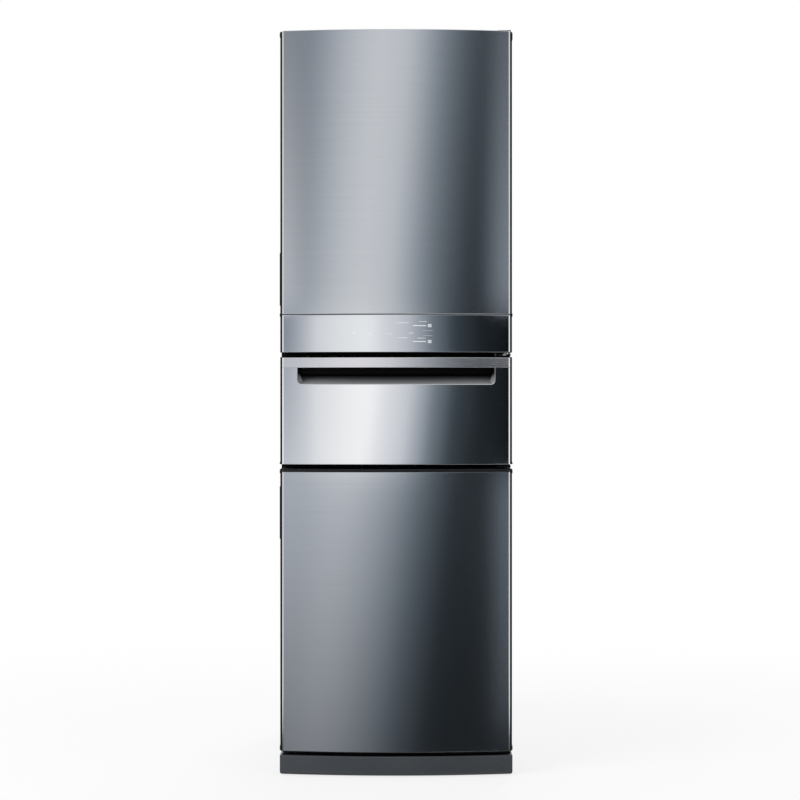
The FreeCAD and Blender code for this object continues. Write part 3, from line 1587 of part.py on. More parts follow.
def make_condenser():
    side = value("condenser_half")
    rear = value("tube_y")
    low = value("condenser_low")
    pitch = value("condenser_pitch")
    count = int(value("condenser_runs"))
    stub_y = value("machine_y")
    stub_z = value("pot_wall_high")
    joint = FreeCAD.Vector(side, rear, low - pitch)
    leg = tube(
        "condenser_leg",
        [
            FreeCAD.Vector(value("compressor_offset + compressor_radius + stub_length"), stub_y, stub_z),
            FreeCAD.Vector(side, stub_y, stub_z),
            FreeCAD.Vector(side, rear, stub_z),
            joint,
        ],
    )
    points = [joint]
    across = side
    for i in range(count):
        points.append(FreeCAD.Vector(across, rear, low + i * pitch))
        across = -across
        points.append(FreeCAD.Vector(across, rear, low + i * pitch))
    points.append(FreeCAD.Vector(across, value("cabinet_rear"), low + (count - 1) * pitch))
    coil = tube("condenser_coil", points)

    # the runs and the bends are solids of their own, so that the spaces between them stay open
    straight = "condenser_half - condenser_pitch / 2"
    past = f"condenser_half + {MARGIN}"
    y = (f"cabinet_rear - {MARGIN}", f"rear_limit + {MARGIN}")
    z = ("0", "cabinet_top")
    runs = common("condenser_straights", coil, box("straight_zone", centred(straight), y, z))
    left = common("condenser_left_bends", coil, side_box("left_zone", -1, straight, past, y, z))
    right = common("condenser_right_bends", coil, side_box("right_zone", 1, straight, past, y, z))

    clips = []
    for i in (0, count - 2):
        level = f"condenser_low + {i} * condenser_pitch"
        for side_sign, word in ((-1, "left"), (1, "right")):
            name = f"condenser_clip_{i}_{word}"
            x = (f"{side_sign} * clip_offset - clip_half", f"{side_sign} * clip_offset + clip_half")
            z = (f"{level} - clip_height / 2", f"{level} + clip_height / 2")
            block = box(f"{name}_block", x, ("cabinet_rear", "rear_limit"), z)
            span = (f"{x[0]} - {MARGIN}", f"{x[1]} + {MARGIN}")
            hole = rod(f"{name}_hole", "x", ("tube_y", level), span, "tube_radius + clip_clearance")
            clips.append(cut(name, block, hole))
    node(group("condenser", leg, runs, left, right, *clips))


def make_inlet():
    x = ("-inlet_offset - inlet_width / 2", "-inlet_offset + inlet_width / 2")
    z = ("niche_top + inlet_rise", "niche_top + inlet_rise + inlet_height")
    middle = "niche_top + inlet_rise + inlet_height / 2"
    body = box("inlet_body", x, ("cabinet_rear", "cabinet_rear + inlet_depth"), z)
    socket = box(
        "inlet_socket",
        ("-inlet_offset - socket_width / 2", "-inlet_offset + socket_width / 2"),
        ("cabinet_rear + inlet_depth - socket_depth", f"cabinet_rear + inlet_depth + {MARGIN}"),
        (f"{middle} - socket_height / 2", f"{middle} + socket_height / 2"),
    )
    node(cut("power_inlet", body, socket))


# Feet and rollers


def make_stand():
    for side, word in ((-1, "left"), (1, "right")):
        foot = turned(
            f"{word}_foot",
            [
                ("0", "0"),
                ("foot_radius", "0"),
                ("foot_radius", "foot_height"),
                ("stem_radius", "foot_height"),
                ("stem_radius", "base_height - stem_spare"),
                ("0", "base_height - stem_spare"),
            ],
            "V_Axis",
            (f"{side} * foot_spread", "foot_y", "0"),
        )
        node(foot)
    inner = "roller_spread - roller_width / 2"
    outer = "roller_spread + roller_width / 2"
    node(
        turned(
            "rear_rollers",
            [
                ("-(roller_outer)", "0"),
                ("roller_outer", "0"),
                ("roller_outer", "axle_radius"),
                (outer, "axle_radius"),
                (outer, "roller_radius"),
                (inner, "roller_radius"),
                (inner, "axle_radius"),
                (f"-({inner})", "axle_radius"),
                (f"-({inner})", "roller_radius"),
                (f"-({outer})", "roller_radius"),
                (f"-({outer})", "axle_radius"),
                ("-(roller_outer)", "axle_radius"),
            ],
            "H_Axis",
            ("0", "roller_y", "roller_radius"),
        )
    )


make_shell()
make_insulation()
make_liners()
make_base()
make_plinth()
make_hinges()
make_upper_door()
make_drawer_front()
make_drawer_bin()
make_rails()
make_freezer_door()
make_fridge_fittings()
make_freezer_fittings()
make_compressor()
make_condenser()
make_inlet()
make_stand()
doc.recompute()

failed = [item.Name for item in doc.Objects if {"Invalid", "Error"} & set(item.State)]
unsound = [item.Label for item in nodes if item.Shape.isNull() or not item.Shape.isValid()]
if failed or unsound:
    raise RuntimeError(f"failed objects {failed}, unsound shapes {unsound}")

os.makedirs("parts", exist_ok=True)
for item in nodes:
    item.Shape.exportStep(f"parts/{item.Label}.step")
print(f"{len(nodes)} nodes written")
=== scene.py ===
import json
from math import atan2, cos, pi, radians, sin, sqrt

import bmesh
import bpy
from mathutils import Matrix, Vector


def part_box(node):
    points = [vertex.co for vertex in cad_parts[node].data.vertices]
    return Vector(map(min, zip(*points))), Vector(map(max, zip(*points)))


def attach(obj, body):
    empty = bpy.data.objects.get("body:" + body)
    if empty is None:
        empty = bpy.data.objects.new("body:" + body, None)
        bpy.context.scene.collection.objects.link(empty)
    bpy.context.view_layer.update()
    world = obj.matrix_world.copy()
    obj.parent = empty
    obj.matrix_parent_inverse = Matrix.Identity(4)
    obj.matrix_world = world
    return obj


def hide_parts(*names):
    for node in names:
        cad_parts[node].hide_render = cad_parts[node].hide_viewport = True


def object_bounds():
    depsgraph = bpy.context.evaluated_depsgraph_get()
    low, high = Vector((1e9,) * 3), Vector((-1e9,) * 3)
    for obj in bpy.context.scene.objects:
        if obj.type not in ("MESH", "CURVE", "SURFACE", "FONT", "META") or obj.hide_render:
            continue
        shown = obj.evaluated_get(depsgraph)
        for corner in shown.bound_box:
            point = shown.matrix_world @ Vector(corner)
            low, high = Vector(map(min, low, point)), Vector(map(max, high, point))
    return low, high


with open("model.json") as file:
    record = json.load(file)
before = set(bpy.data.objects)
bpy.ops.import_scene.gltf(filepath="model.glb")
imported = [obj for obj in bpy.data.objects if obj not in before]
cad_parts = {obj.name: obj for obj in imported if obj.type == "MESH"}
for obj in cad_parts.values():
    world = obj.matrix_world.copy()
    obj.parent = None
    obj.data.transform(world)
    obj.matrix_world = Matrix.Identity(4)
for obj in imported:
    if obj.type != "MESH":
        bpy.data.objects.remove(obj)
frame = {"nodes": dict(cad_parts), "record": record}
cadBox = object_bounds()
scene = bpy.context.scene
nodes = frame["nodes"]
print("frame loaded:", len(nodes), "nodes")


def newObject(name, data):
    made = bpy.data.objects.new(name, data)
    scene.collection.objects.link(made)
    return made


# node helpers, used by the finishes, the geometry trees and the stage

def addNode(tree, kind, sockets=None, **settings):  # gives the new node's outputs
    made = tree.nodes.new(tree.bl_idname.replace("Tree", kind))
    for label, choice in settings.items():
        setattr(made, label, choice)
    for label, source in (sockets or {}).items():
        if isinstance(source, bpy.types.NodeSocket):
            tree.links.new(source, made.inputs[label])
        else:
            made.inputs[label].default_value = source
    return made.outputs


def combined(tree, operation, *values):
    return addNode(tree, "Math", dict(enumerate(values)), operation=operation)[0]


def objectPlace(tree):
    return addNode(tree, "TexCoord")["Object"]


def grain(tree, place, scale, stretch=(1, 1, 1), detail=3.0):
    turned = addNode(tree, "Mapping", {"Vector": place, "Scale": stretch})
    return addNode(tree, "TexNoise", {"Vector": turned[0], "Scale": scale, "Detail": detail})[0]


def spread(tree, source, low, high, start=0.3, end=0.7):  # a 0 to 1 pattern onto a range
    ranges = {"From Min": start, "From Max": end, "To Min": low, "To Max": high}
    return addNode(tree, "MapRange", {"Value": source, **ranges})[0]


def mixed(tree, factor, first, second):
    first, second = [(*c, 1.0) if isinstance(c, tuple) else c for c in (first, second)]
    return addNode(tree, "Mix", {0: factor, 6: first, 7: second}, data_type="RGBA")[2]


edgeMask = {"radius": 0.0012, "samples": 4, "sharp": 0.78, "flat": 0.97}


def edgeWearAndHighlight(tree):  # 1 on sharp edges, 0 on flat faces
    rounded = addNode(tree, "Bevel", {"Radius": edgeMask["radius"]}, samples=edgeMask["samples"])
    plain = addNode(tree, "NewGeometry")
    match = addNode(tree, "VectorMath", {0: rounded[0], 1: plain["Normal"]}, operation="DOT_PRODUCT")
    return spread(tree, match["Value"], 1.0, 0.0, edgeMask["sharp"], edgeMask["flat"])


def below(tree, place, axis, level, blur):  # 1 under a level along one axis, 0 above it
    parts = addNode(tree, "SeparateXYZ", {0: place})
    return spread(tree, parts[axis], 1.0, 0.0, level - blur, level + blur)


# finishes: colour and tint vary in broad patches, rough and bump follow the fine grain

usualLook = {"patch": 5.0, "patchStretch": (1, 1, 1), "stretch": (1, 1, 1), "cellOutput": "Distance",
             "depth": 0.0004, "fixed": {}}


def newFinish(name, look):
    look = {**usualLook, **look}
    material = bpy.data.materials.new(name)
    material.use_nodes = True
    tree = material.node_tree
    shader = tree.nodes["Principled BSDF"]
    place = objectPlace(tree)
    broad = grain(tree, place, look["patch"], look["patchStretch"], detail=4.0)
    if "cells" in look:
        cells = addNode(tree, "TexVoronoi", {"Vector": place, "Scale": look["cells"]})
        fine = cells[look["cellOutput"]]
    else:
        fine = grain(tree, place, look["scale"], look["stretch"])
    colour = mixed(tree, spread(tree, broad, 0.0, 1.0), look["colour"], look["tint"])
    if "speck" in look:
        speck, share = look["speck"]
        colour = mixed(tree, spread(tree, fine, 0.0, share), colour, speck)
    # edge colour on sharp edges: wear and a painted edge highlight on most finishes, the green of the glass edge
    # on the shelves
    if "edge" in look:
        colour = mixed(tree, edgeWearAndHighlight(tree), colour, look["edge"])
    if "shade" in look:  # a second colour under a level along one axis
        axis, level, blur, dark = look["shade"]
        colour = mixed(tree, below(tree, place, axis, level, blur), colour, dark)
    tree.links.new(colour, shader.inputs["Base Color"])
    tree.links.new(spread(tree, fine, *look["rough"]), shader.inputs["Roughness"])
    bump = addNode(tree, "Bump", {"Strength": look["bump"], "Distance": look["depth"], "Height": fine})
    tree.links.new(bump[0], shader.inputs["Normal"])
    for label, number in look["fixed"].items():
        shader.inputs[label].default_value = number
    if look.get("clear"):  # lamp light reaches what is behind it
        rays = addNode(tree, "LightPath")
        through = addNode(tree, "BsdfTransparent", {"Color": (*look["clear"], 1.0)})
        blend = addNode(tree, "MixShader", {0: rays["Is Shadow Ray"], 1: shader.outputs[0], 2: through[0]})
        tree.links.new(blend[0], tree.nodes["Material Output"].inputs[0])
    return material


metal = {"Metallic": 1.0}
brushed = dict(stretch=(1.5, 1.5, 240.0), patchStretch=(0.6, 0.6, 40.0))
looks = {
    "brushed_steel": dict(colour=(0.630, 0.655, 0.675), tint=(0.646, 0.670, 0.688), scale=9.0, patch=4.0,
        rough=(0.145, 0.165), bump=0.010, depth=0.0001, fixed=metal, **brushed),
    "polished_steel": dict(colour=(0.86, 0.87, 0.88), tint=(0.88, 0.89, 0.90), scale=60.0,
        rough=(0.06, 0.085), bump=0.006, fixed=metal),
    "satin_aluminium": dict(colour=(0.82, 0.815, 0.84), tint=(0.84, 0.835, 0.855), scale=12.0,
        rough=(0.265, 0.275), bump=0.002, depth=0.0001, fixed=metal, **brushed),
    "control_glass": dict(colour=(0.74, 0.76, 0.78), tint=(0.77, 0.79, 0.81), scale=80.0, rough=(0.05, 0.075),
        bump=0.008, fixed={"Metallic": 1.0, "Coat Weight": 0.6, "Coat Roughness": 0.03}),
    "black_trim": dict(colour=(0.008, 0.0085, 0.010), tint=(0.012, 0.0125, 0.0145), scale=1400.0,
        rough=(0.36, 0.5), bump=0.12, edge=(0.035, 0.036, 0.039), fixed={"Specular IOR Level": 0.2}),
    "plinth_grey": dict(colour=(0.050, 0.0575, 0.065), tint=(0.060, 0.0675, 0.075), scale=1100.0,
        rough=(0.24, 0.32), bump=0.06, edge=(0.10, 0.105, 0.11),
        # near black under 8.5 mm: a painted contact shadow along the plinth's foot
        shade=("Z", 0.0085, 0.0012, (0.008, 0.009, 0.010))),
    "cabinet_paint": dict(colour=(0.36, 0.37, 0.385), tint=(0.38, 0.39, 0.405), scale=700.0, rough=(0.34, 0.46),
        bump=0.10, edge=(0.46, 0.47, 0.48), fixed={"Metallic": 0.35}),
    "zinc_sheet": dict(colour=(0.50, 0.515, 0.53), tint=(0.57, 0.58, 0.59), cells=55.0, cellOutput="Color",
        rough=(0.32, 0.5), bump=0.04, speck=((0.66, 0.67, 0.68), 0.5), fixed={"Metallic": 0.8}),
    "foam": dict(colour=(0.80, 0.70, 0.47), tint=(0.72, 0.61, 0.40), cells=420.0, rough=(0.85, 0.95), bump=0.5,
        depth=0.001),
    "liner_white": dict(colour=(0.80, 0.815, 0.825), tint=(0.83, 0.84, 0.845), scale=260.0, rough=(0.22, 0.32),
        bump=0.014, edge=(0.86, 0.87, 0.875)),
    "gasket_grey": dict(colour=(0.16, 0.165, 0.17), tint=(0.20, 0.205, 0.21), scale=900.0, rough=(0.55, 0.7),
        bump=0.10, edge=(0.27, 0.275, 0.28)),
    "clear_plastic": dict(colour=(0.90, 0.935, 0.95), tint=(0.93, 0.955, 0.965), scale=120.0, rough=(0.06, 0.12),
        bump=0.02, clear=(0.88, 0.92, 0.935), fixed={"Transmission Weight": 0.9, "IOR": 1.49}),
    "shelf_glass": dict(colour=(0.80, 0.93, 0.89), tint=(0.84, 0.95, 0.92), scale=90.0, rough=(0.02, 0.05),
        bump=0.006, edge=(0.45, 0.80, 0.70), clear=(0.84, 0.92, 0.89),
        fixed={"Transmission Weight": 0.95, "IOR": 1.52}),
    "plated_steel": dict(colour=(0.56, 0.565, 0.57), tint=(0.62, 0.62, 0.61), scale=300.0, rough=(0.24, 0.38),
        bump=0.05, edge=(0.74, 0.74, 0.73), fixed=metal),
    "black_metal": dict(colour=(0.014, 0.014, 0.015), tint=(0.022, 0.022, 0.023), scale=500.0, rough=(0.30, 0.45),
        bump=0.12, edge=(0.05, 0.05, 0.05)),
    "fin_aluminium": dict(colour=(0.66, 0.67, 0.68), tint=(0.71, 0.715, 0.72), scale=400.0, rough=(0.30, 0.42),
        bump=0.05, fixed=metal),
    "lamp_white": dict(colour=(0.88, 0.88, 0.86), tint=(0.91, 0.91, 0.89), scale=300.0, rough=(0.28, 0.38),
        bump=0.04, fixed={"Subsurface Weight": 0.2, "Subsurface Scale": 0.004}),
    "roller_black": dict(colour=(0.022, 0.022, 0.023), tint=(0.034, 0.034, 0.035), scale=800.0, rough=(0.45, 0.6),
        bump=0.14, edge=(0.09, 0.09, 0.09)),
}

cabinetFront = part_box("cabinet_shell")[0].y
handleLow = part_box("drawer_handle_cup")[0].z
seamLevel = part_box("control_housing")[1].z
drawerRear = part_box("drawer_core")[1].y
seamBlack = (0.012, 0.012, 0.013)
# near black with almost no gloss: painted shade in the handle's recess and behind the door gaps
shadeBlack = dict(colour=(0.004, 0.004, 0.005), tint=(0.006, 0.006, 0.007), fixed={"Specular IOR Level": 0.05})
cupLook = dict(looks["black_trim"], **shadeBlack, scale=300.0, rough=(0.28, 0.34), bump=0.02,
               edge=(0.006, 0.006, 0.007))
variants = {  # shade: axis, level, blur and the colour under the level
    "cabinet_liner": dict(looks["liner_white"],  # near black on the flange that the gaskets meet: a dark front frame, and painted shade for the gaps between the doors
        shade=("Y", cabinetFront + 0.0025, 0.0008, (0.008, 0.0083, 0.009))),
    "handle_cup": dict(cupLook,  # painted light and shade in the recess: a lit grey slope low down that runs up into black under the bar
        shade=("Z", handleLow + 0.0122, 0.0125, (0.34, 0.355, 0.375))),
    # the same painted light and shade on the fillets at the recess's ends: grey at the foot, black higher up
    "cup_ends": dict(cupLook, shade=("Z", handleLow + 0.0130, 0.0165, (0.52, 0.535, 0.56))),
    "frosted_plastic": dict(looks["clear_plastic"], colour=(0.70, 0.77, 0.81), tint=(0.74, 0.80, 0.835),
        rough=(0.18, 0.28), edge=(0.84, 0.88, 0.90), clear=None,
        fixed={"Subsurface Weight": 0.3, "Subsurface Scale": 0.004}),
    "core_foam": dict(looks["foam"],  # dark sealant at the seam over the control band
        shade=("Z", seamLevel + 0.004, 0.0005, seamBlack)),
    "drawer_foam": dict(looks["foam"],  # core near black behind the drawer's skin: painted shade in the seams of the skin
        shade=("Y", drawerRear - 0.012, 0.002, seamBlack)),
    "printed_marks": dict(colour=(0.74, 0.76, 0.78), tint=(0.80, 0.81, 0.82), scale=900.0, rough=(0.4, 0.5),
        bump=0.02),
    "bright_trim": dict(looks["satin_aluminium"], rough=(0.10, 0.16), colour=(0.80, 0.81, 0.82)),
    "lip_satin": dict(colour=(0.52, 0.53, 0.545), tint=(0.57, 0.58, 0.59), scale=400.0, rough=(0.3, 0.4),
        bump=0.02, fixed={"Metallic": 0.3}),
    # near black for the strips behind the door gaps: painted shade
    "divider_black": dict(looks["black_trim"], **shadeBlack, edge=(0.010, 0.010, 0.011)),
    "hinge_black": dict(looks["black_metal"], colour=(0.006, 0.006, 0.007), tint=(0.010, 0.010, 0.011),
        edge=(0.03, 0.03, 0.032), fixed={"Specular IOR Level": 0.2}),
}
finishes = {name: newFinish(name, look) for name, look in {**looks, **variants}.items()}
print("finishes made:", len(finishes))

nodeFinish = {  # where the finish isn't the one that the node's slot names
    "fridge_liner": "cabinet_liner", "drawer_cavity_liner": "cabinet_liner", "freezer_liner": "cabinet_liner",
    "upper_door_core": "core_foam", "drawer_core": "drawer_foam", "drawer_handle_cup": "handle_cup",
    "top_hinge": "hinge_black", "middle_hinge": "hinge_black", "lower_hinge": "hinge_black",
    "bottom_hinge": "hinge_black",
}
for row in frame["record"]["subparts"]:
    materials = nodes[row["node"]].data.materials
    materials.clear()
    materials.append(finishes[nodeFinish.get(row["node"], row["material_slot"])])


# pieces: a mesh from bmesh code, ridden on its body

shading = {"sharp": 35, "bevelAngle": 40, "bevelSegments": 2}  # angles in degrees


def newPiece(name, build, finish, body, replaced=(), sharp=shading["sharp"], bevel=0.0, wall=0.0):
    mesh = bpy.data.meshes.new(name)
    shape = bmesh.new()
    build(shape)
    shape.to_mesh(mesh)
    shape.free()
    mesh.materials.append(finishes[finish])
    mesh.polygons.foreach_set("use_smooth", [True] * len(mesh.polygons))
    mesh.set_sharp_from_angle(angle=radians(sharp))
    settle(name, mesh, body, replaced, bevel, wall)


def settle(name, mesh, body, replaced=(), bevel=0.0, wall=0.0):
    piece = newObject(name, mesh)
    if wall:
        thick = piece.modifiers.new("wall", "SOLIDIFY")
        thick.thickness = wall
        thick.offset = -1.0
        graph = bpy.context.evaluated_depsgraph_get()
        piece.data = bpy.data.meshes.new_from_object(piece.evaluated_get(graph))
        piece.data.set_sharp_from_angle(angle=radians(shading["sharp"]))  # the new rims stay crisp
        piece.modifiers.clear()
    if bevel:
        soft = piece.modifiers.new("soft edges", "BEVEL")
        soft.width = bevel
        soft.segments = shading["bevelSegments"]
        soft.limit_method = "ANGLE"
        soft.angle_limit = radians(shading["bevelAngle"])
        soft.harden_normals = True
    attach(piece, body)
    if replaced:
        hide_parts(*replaced)


def addBox(shape, low, high):
    corners = [(x, y, z) for x in (low[0], high[0]) for y in (low[1], high[1]) for z in (low[2], high[2])]
    v = [shape.verts.new(c) for c in corners]
    for a, b, c, d in ((0, 1, 3, 2), (4, 6, 7, 5), (0, 4, 5, 1), (2, 3, 7, 6), (0, 2, 6, 4), (1, 5, 7, 3)):
        shape.faces.new((v[a], v[b], v[c], v[d]))


def addRings(shape, rings, loop, capped=False):  # faces between rings of points; loop joins each ring's ends
    rows = [[shape.verts.new(p) for p in ring] for ring in rings]
    count = len(rows[0])
    for lower, upper in zip(rows, rows[1:]):
        for i in range(count if loop else count - 1):
            j = (i + 1) % count
            shape.faces.new((lower[i], lower[j], upper[j], upper[i]))
    if capped:
        shape.faces.new(list(reversed(rows[0])))
        shape.faces.new(rows[-1])
    return rows


def addHoop(shape, rings):  # the last ring joined to the first
    addRings(shape, rings + rings[:1], True)
    bmesh.ops.remove_doubles(shape, verts=shape.verts, dist=1e-6)
    bmesh.ops.recalc_face_normals(shape, faces=shape.faces)


def arc(steps, span=pi / 2):  # cosine and sine at even steps
    return [(cos(span * i / steps), sin(span * i / steps)) for i in range(steps + 1)]


def roundedLoop(x0, x1, y0, y1, corner, steps=6):  # rectangle with round corners: point and outward direction
    points = []
    for cx, cy, start in ((x1 - corner, y1 - corner, 0), (x0 + corner, y1 - corner, 90),
                          (x0 + corner, y0 + corner, 180), (x1 - corner, y0 + corner, 270)):
        for i in range(steps + 1):
            a = radians(start + 90 * i / steps)
            points.append((cx + corner * cos(a), cy + corner * sin(a), cos(a), sin(a)))
    return points


# bowed fronts, as smooth sheets in place of the CAD skins

skinLow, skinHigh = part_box("upper_door_skin")
front = {"apex": skinLow.y, "half": skinHigh.x, "bulge": 0.022, "corner": 0.005, "leastCorner": 0.0006,
         "cornerSteps": 10, "flat": 0.2890, "edge": 0.2904, "columns": 136, "wall": 0.0011}
front["radius"] = (front["half"] ** 2 + front["bulge"] ** 2) / (2 * front["bulge"])
flatColumns = [-front["flat"] + 2 * front["flat"] * i / front["columns"] for i in range(front["columns"] + 1)]
evenColumns = [-front["edge"], *flatColumns, front["edge"]]


def bowProfile(rear, inset, columns, half=None, apex=None):  # left rear, round the front, to right rear
    half = (half or front["half"]) - inset
    radius = front["radius"] - inset
    centre = (apex or front["apex"]) + front["radius"]
    corner = max(front["corner"] - inset, front["leastCorner"])
    arm = sqrt((radius - corner) ** 2 - (half - corner) ** 2)
    turn = atan2(half - corner, arm)
    side = [(half, rear), (half, (rear + centre - arm) / 2)]
    for cosine, sine in arc(front["cornerSteps"], pi / 2 - turn):
        side.append((half - corner + corner * cosine, centre - arm - corner * sine))
    middle = []
    for column in columns:
        x = column * (half - corner) / (front["half"] - front["corner"])
        middle.append((x, centre - sqrt(radius ** 2 - x ** 2)))
    return [(-x, y) for x, y in side] + middle + list(reversed(side))


def rolledRows(low, high, roll, foot=None, roof=None, floor=None, steps=5):  # inset and height of each row
    foot = foot or roll
    rows = [(foot + floor, low)] if floor else []
    for cosine, sine in arc(steps):
        rows.append((foot * (1 - sine), low + foot * (1 - cosine)))
    close, near = 0.0006, 0.002  # rows beside the rolls keep the flat part's shading flat
    for level in (low + foot + close, low + foot + near, high - roll - near, high - roll - close):
        rows.append((0.0, level))
    for cosine, sine in arc(steps):
        rows.append((roll * (1 - cosine), high - roll + roll * sine))
    if roof:
        rows.append((roll + roof, high))
    return rows


def bowedSheet(rows, rear, half=None, apex=None, lid=False):
    def build(shape):
        rings = []
        for inset, z in rows:
            rings.append([(x, y, z) for x, y in bowProfile(rear, inset, evenColumns, half, apex)])
        made = addRings(shape, rings, False)
        if lid:
            shape.faces.new(made[-1])
    return build


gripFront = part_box("upper_door_grip")[0].y
sheetRear = gripFront - 0.0004  # the sides stop short of the finger grips, under the trims
plinthLow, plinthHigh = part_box("plinth")
sheets = {  # roll and foot round the top and foot edges, rise and drop shift them, roof and floor fold them in
    "upperDoorFront": dict(node="upper_door_skin", body="upper_door", finish="brushed_steel", rear=sheetRear,
        roll=0.002, roof=0.02),
    "controlFront": dict(node="control_glass", body="upper_door", finish="control_glass", roll=0.0012, foot=0.0006,
        roof=0.003, floor=0.003, apex=front["apex"] + 0.0003, wall=0.002),
    "freezerDoorFront": dict(node="freezer_door_skin", body="freezer_door", finish="brushed_steel", rear=sheetRear,
        roll=0.0006, foot=0.0002, rise=0.0022),  # the cap shows under it
    "drawerBar": dict(node="drawer_bar", body="drawer", finish="satin_aluminium", roll=0.0014, foot=0.0005,
        rise=-0.0004, drop=0.0014, lid=True),
    "plinthFront": dict(node="plinth", body="cabinet", finish="plinth_grey", roll=0.0026, foot=0.007, rise=-0.0012,
        half=plinthHigh.x + 0.0011, apex=plinthLow.y, lid=True, wall=0.002),
}


def frontSheet(name, node, body, finish, roll, foot=None, roof=None, floor=None, rise=0.0, drop=0.0, rear=None,
               half=None, apex=None, lid=False, wall=front["wall"]):
    low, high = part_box(node)
    rows = rolledRows(low.z + rise, high.z - drop, roll, foot, roof, floor)
    newPiece(name, bowedSheet(rows, rear or high.y, half, apex, lid), finish, body, replaced=[node], wall=wall)


for name, sheet in sheets.items():
    frontSheet(name, **sheet)

plinthShadeSheet = {"rows": [(0.005, -0.0006), (0.005, 0.0002), (0.0056, 0.0004)], "wall": 0.0003}  # near-black sheet on the plinth's top: painted shade under the door
rows = [(inset, plinthHigh.z + rise) for inset, rise in plinthShadeSheet["rows"]]
newPiece("plinthShadeSheet", bowedSheet(rows, plinthHigh.y, plinthHigh.x, plinthLow.y, True), "hinge_black", "cabinet",
         wall=plinthShadeSheet["wall"])
print("bowed fronts made")


# drawer front with the handle notch open to its top edge

drawerLow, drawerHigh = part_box("drawer_skin")
drawerEdge = {"rear": -0.272, "sides": -0.31, "fold": 0.0006, "flankRows": 3,
              "rows": [(0.0006, 0.0), (0.0002, 0.0002), (0.0, 0.0006)], "shares": (0.004, 0.012, 0.5, 0.99, 1.0)}
notch = {"half": 0.2565, "low": 1.0130, "corner": 0.011, "steps": 8, "across": 110, "lip": 0.0023,
         "sideLip": 0.0009, "cornerLip": 0.0008, "lipSides": 12, "lipRows": 4, "lipBehind": 0.0002, "near": 1e-6}
notch["flat"] = notch["half"] - notch["corner"]
notch["top"] = notch["low"] + notch["corner"]


def notchEdge(x):  # height of the sheet's edge across the notch
    over = min(max(abs(x) - notch["flat"], 0.0), notch["corner"])
    return notch["top"] - sqrt(notch["corner"] ** 2 - over ** 2)


def notchColumns():
    flat, half, steps = notch["flat"], notch["half"], notch["steps"]
    across = [-flat + 2 * flat * i / notch["across"] for i in range(notch["across"] + 1)]
    bend = [flat + notch["corner"] * sine for cosine, sine in arc(steps)[1:]]
    outer = [half + (front["flat"] - half) * i / steps for i in range(1, steps + 1)] + [front["edge"]]
    return [-x for x in reversed(bend + outer)] + across + bend + outer


def underNotch(x, y):
    return abs(x) < notch["half"] + notch["near"] and y < drawerEdge["sides"]


def drawerSheet(shape):
    columns = notchColumns()
    low, high, fold = drawerLow.z, drawerHigh.z, drawerEdge["fold"]
    plain = bowProfile(drawerEdge["rear"], 0.0, columns)
    tops = [notchEdge(x) if underNotch(x, y) else notch["top"] for x, y in plain]
    lower = []
    for inset, rise in drawerEdge["rows"]:
        lower.append([(x, y, low + rise) for x, y in bowProfile(drawerEdge["rear"], inset, columns)])
    for share in drawerEdge["shares"]:
        lower.append([(x, y, low + fold + (top - low - fold) * share) for (x, y), top in zip(plain, tops)])
    rows = addRings(shape, lower, False)
    inside = [i for i, (x, y) in enumerate(plain) if underNotch(x, y)]
    for first, last in ((0, inside[0]), (inside[-1], len(plain) - 1)):  # the two flanks beside the notch
        previous = rows[-1][first:last + 1]
        for i in range(1, drawerEdge["flankRows"] + 1):
            z = notch["top"] + (high - notch["top"]) * i / drawerEdge["flankRows"]
            ring = [shape.verts.new((x, y, z)) for x, y in plain[first:last + 1]]
            for j in range(len(ring) - 1):
                shape.faces.new((previous[j], previous[j + 1], ring[j + 1], ring[j]))
            previous = ring


newPiece("drawerFront", drawerSheet, "polished_steel", "drawer", replaced=["drawer_skin"], wall=front["wall"])


def bowAt(x):  # the fronts' surface at a distance from the middle
    return front["apex"] + front["radius"] - sqrt(front["radius"] ** 2 - x ** 2)


def notchLip(shape):  # rolled lip along the foot of the notch, thinner up its two sides
    across = [x for x in notchColumns() if abs(x) <= notch["half"] + notch["near"]]
    top, count = notch["top"], notch["lipRows"]
    side = [(notch["half"], top + (drawerHigh.z - top) * i / count) for i in range(count, 0, -1)]
    path = [(-x, z) for x, z in side] + [(x, notchEdge(x)) for x in across] + list(reversed(side))
    out = Vector((0, -1, 0))
    rings = []
    for i, (x, z) in enumerate(path):
        before, after = path[max(i - 1, 0)], path[min(i + 1, len(path) - 1)]
        along = Vector((after[0] - before[0], 0, after[1] - before[1])).normalized()
        radius = notch["sideLip"] + (notch["lip"] - notch["sideLip"]) * along.x ** 2
        radius += notch["cornerLip"] * (2 * along.x * along.z) ** 2  # fuller round the corners
        normal = along.cross(out).normalized()
        point = Vector((x, bowAt(x) + radius + notch["lipBehind"], z))
        turns = arc(notch["lipSides"], 2 * pi)[:-1]
        rings.append([point + radius * (out * cosine + normal * sine) for cosine, sine in turns])
    addRings(shape, rings, True, True)
    bmesh.ops.recalc_face_normals(shape, faces=shape.faces)


newPiece("handleLip", notchLip, "lip_satin", "drawer", sharp=60)

cupEnd = {"size": 0.0145, "tip": 0.0006, "taper": 0.8, "rise": 0.042, "rows": 8, "steps": 7, "behind": 0.0016}


def cupEnds(shape):  # hollow fillets at both ends of the recess, narrower towards the top
    near = bowAt(notch["half"]) + cupEnd["behind"]
    for side in (-1, 1):
        rings = []
        for i in range(cupEnd["rows"] + 1):
            share = i / cupEnd["rows"]
            size = cupEnd["tip"] + cupEnd["size"] * (1 - share) ** cupEnd["taper"]
            z = notch["low"] + cupEnd["rise"] * share
            ring = [(side * (notch["half"] - size + size * cosine), near + size * sine, z)
                    for cosine, sine in arc(cupEnd["steps"])]
            ring.append((side * notch["half"], near + size, z))
            rings.append(ring if side < 0 else list(reversed(ring)))
        addRings(shape, rings, True, True)


newPiece("handleEnds", cupEnds, "cup_ends", "drawer", sharp=50)
print("drawer front made")


# small printed marks on the control band: plain bars, squares and dots

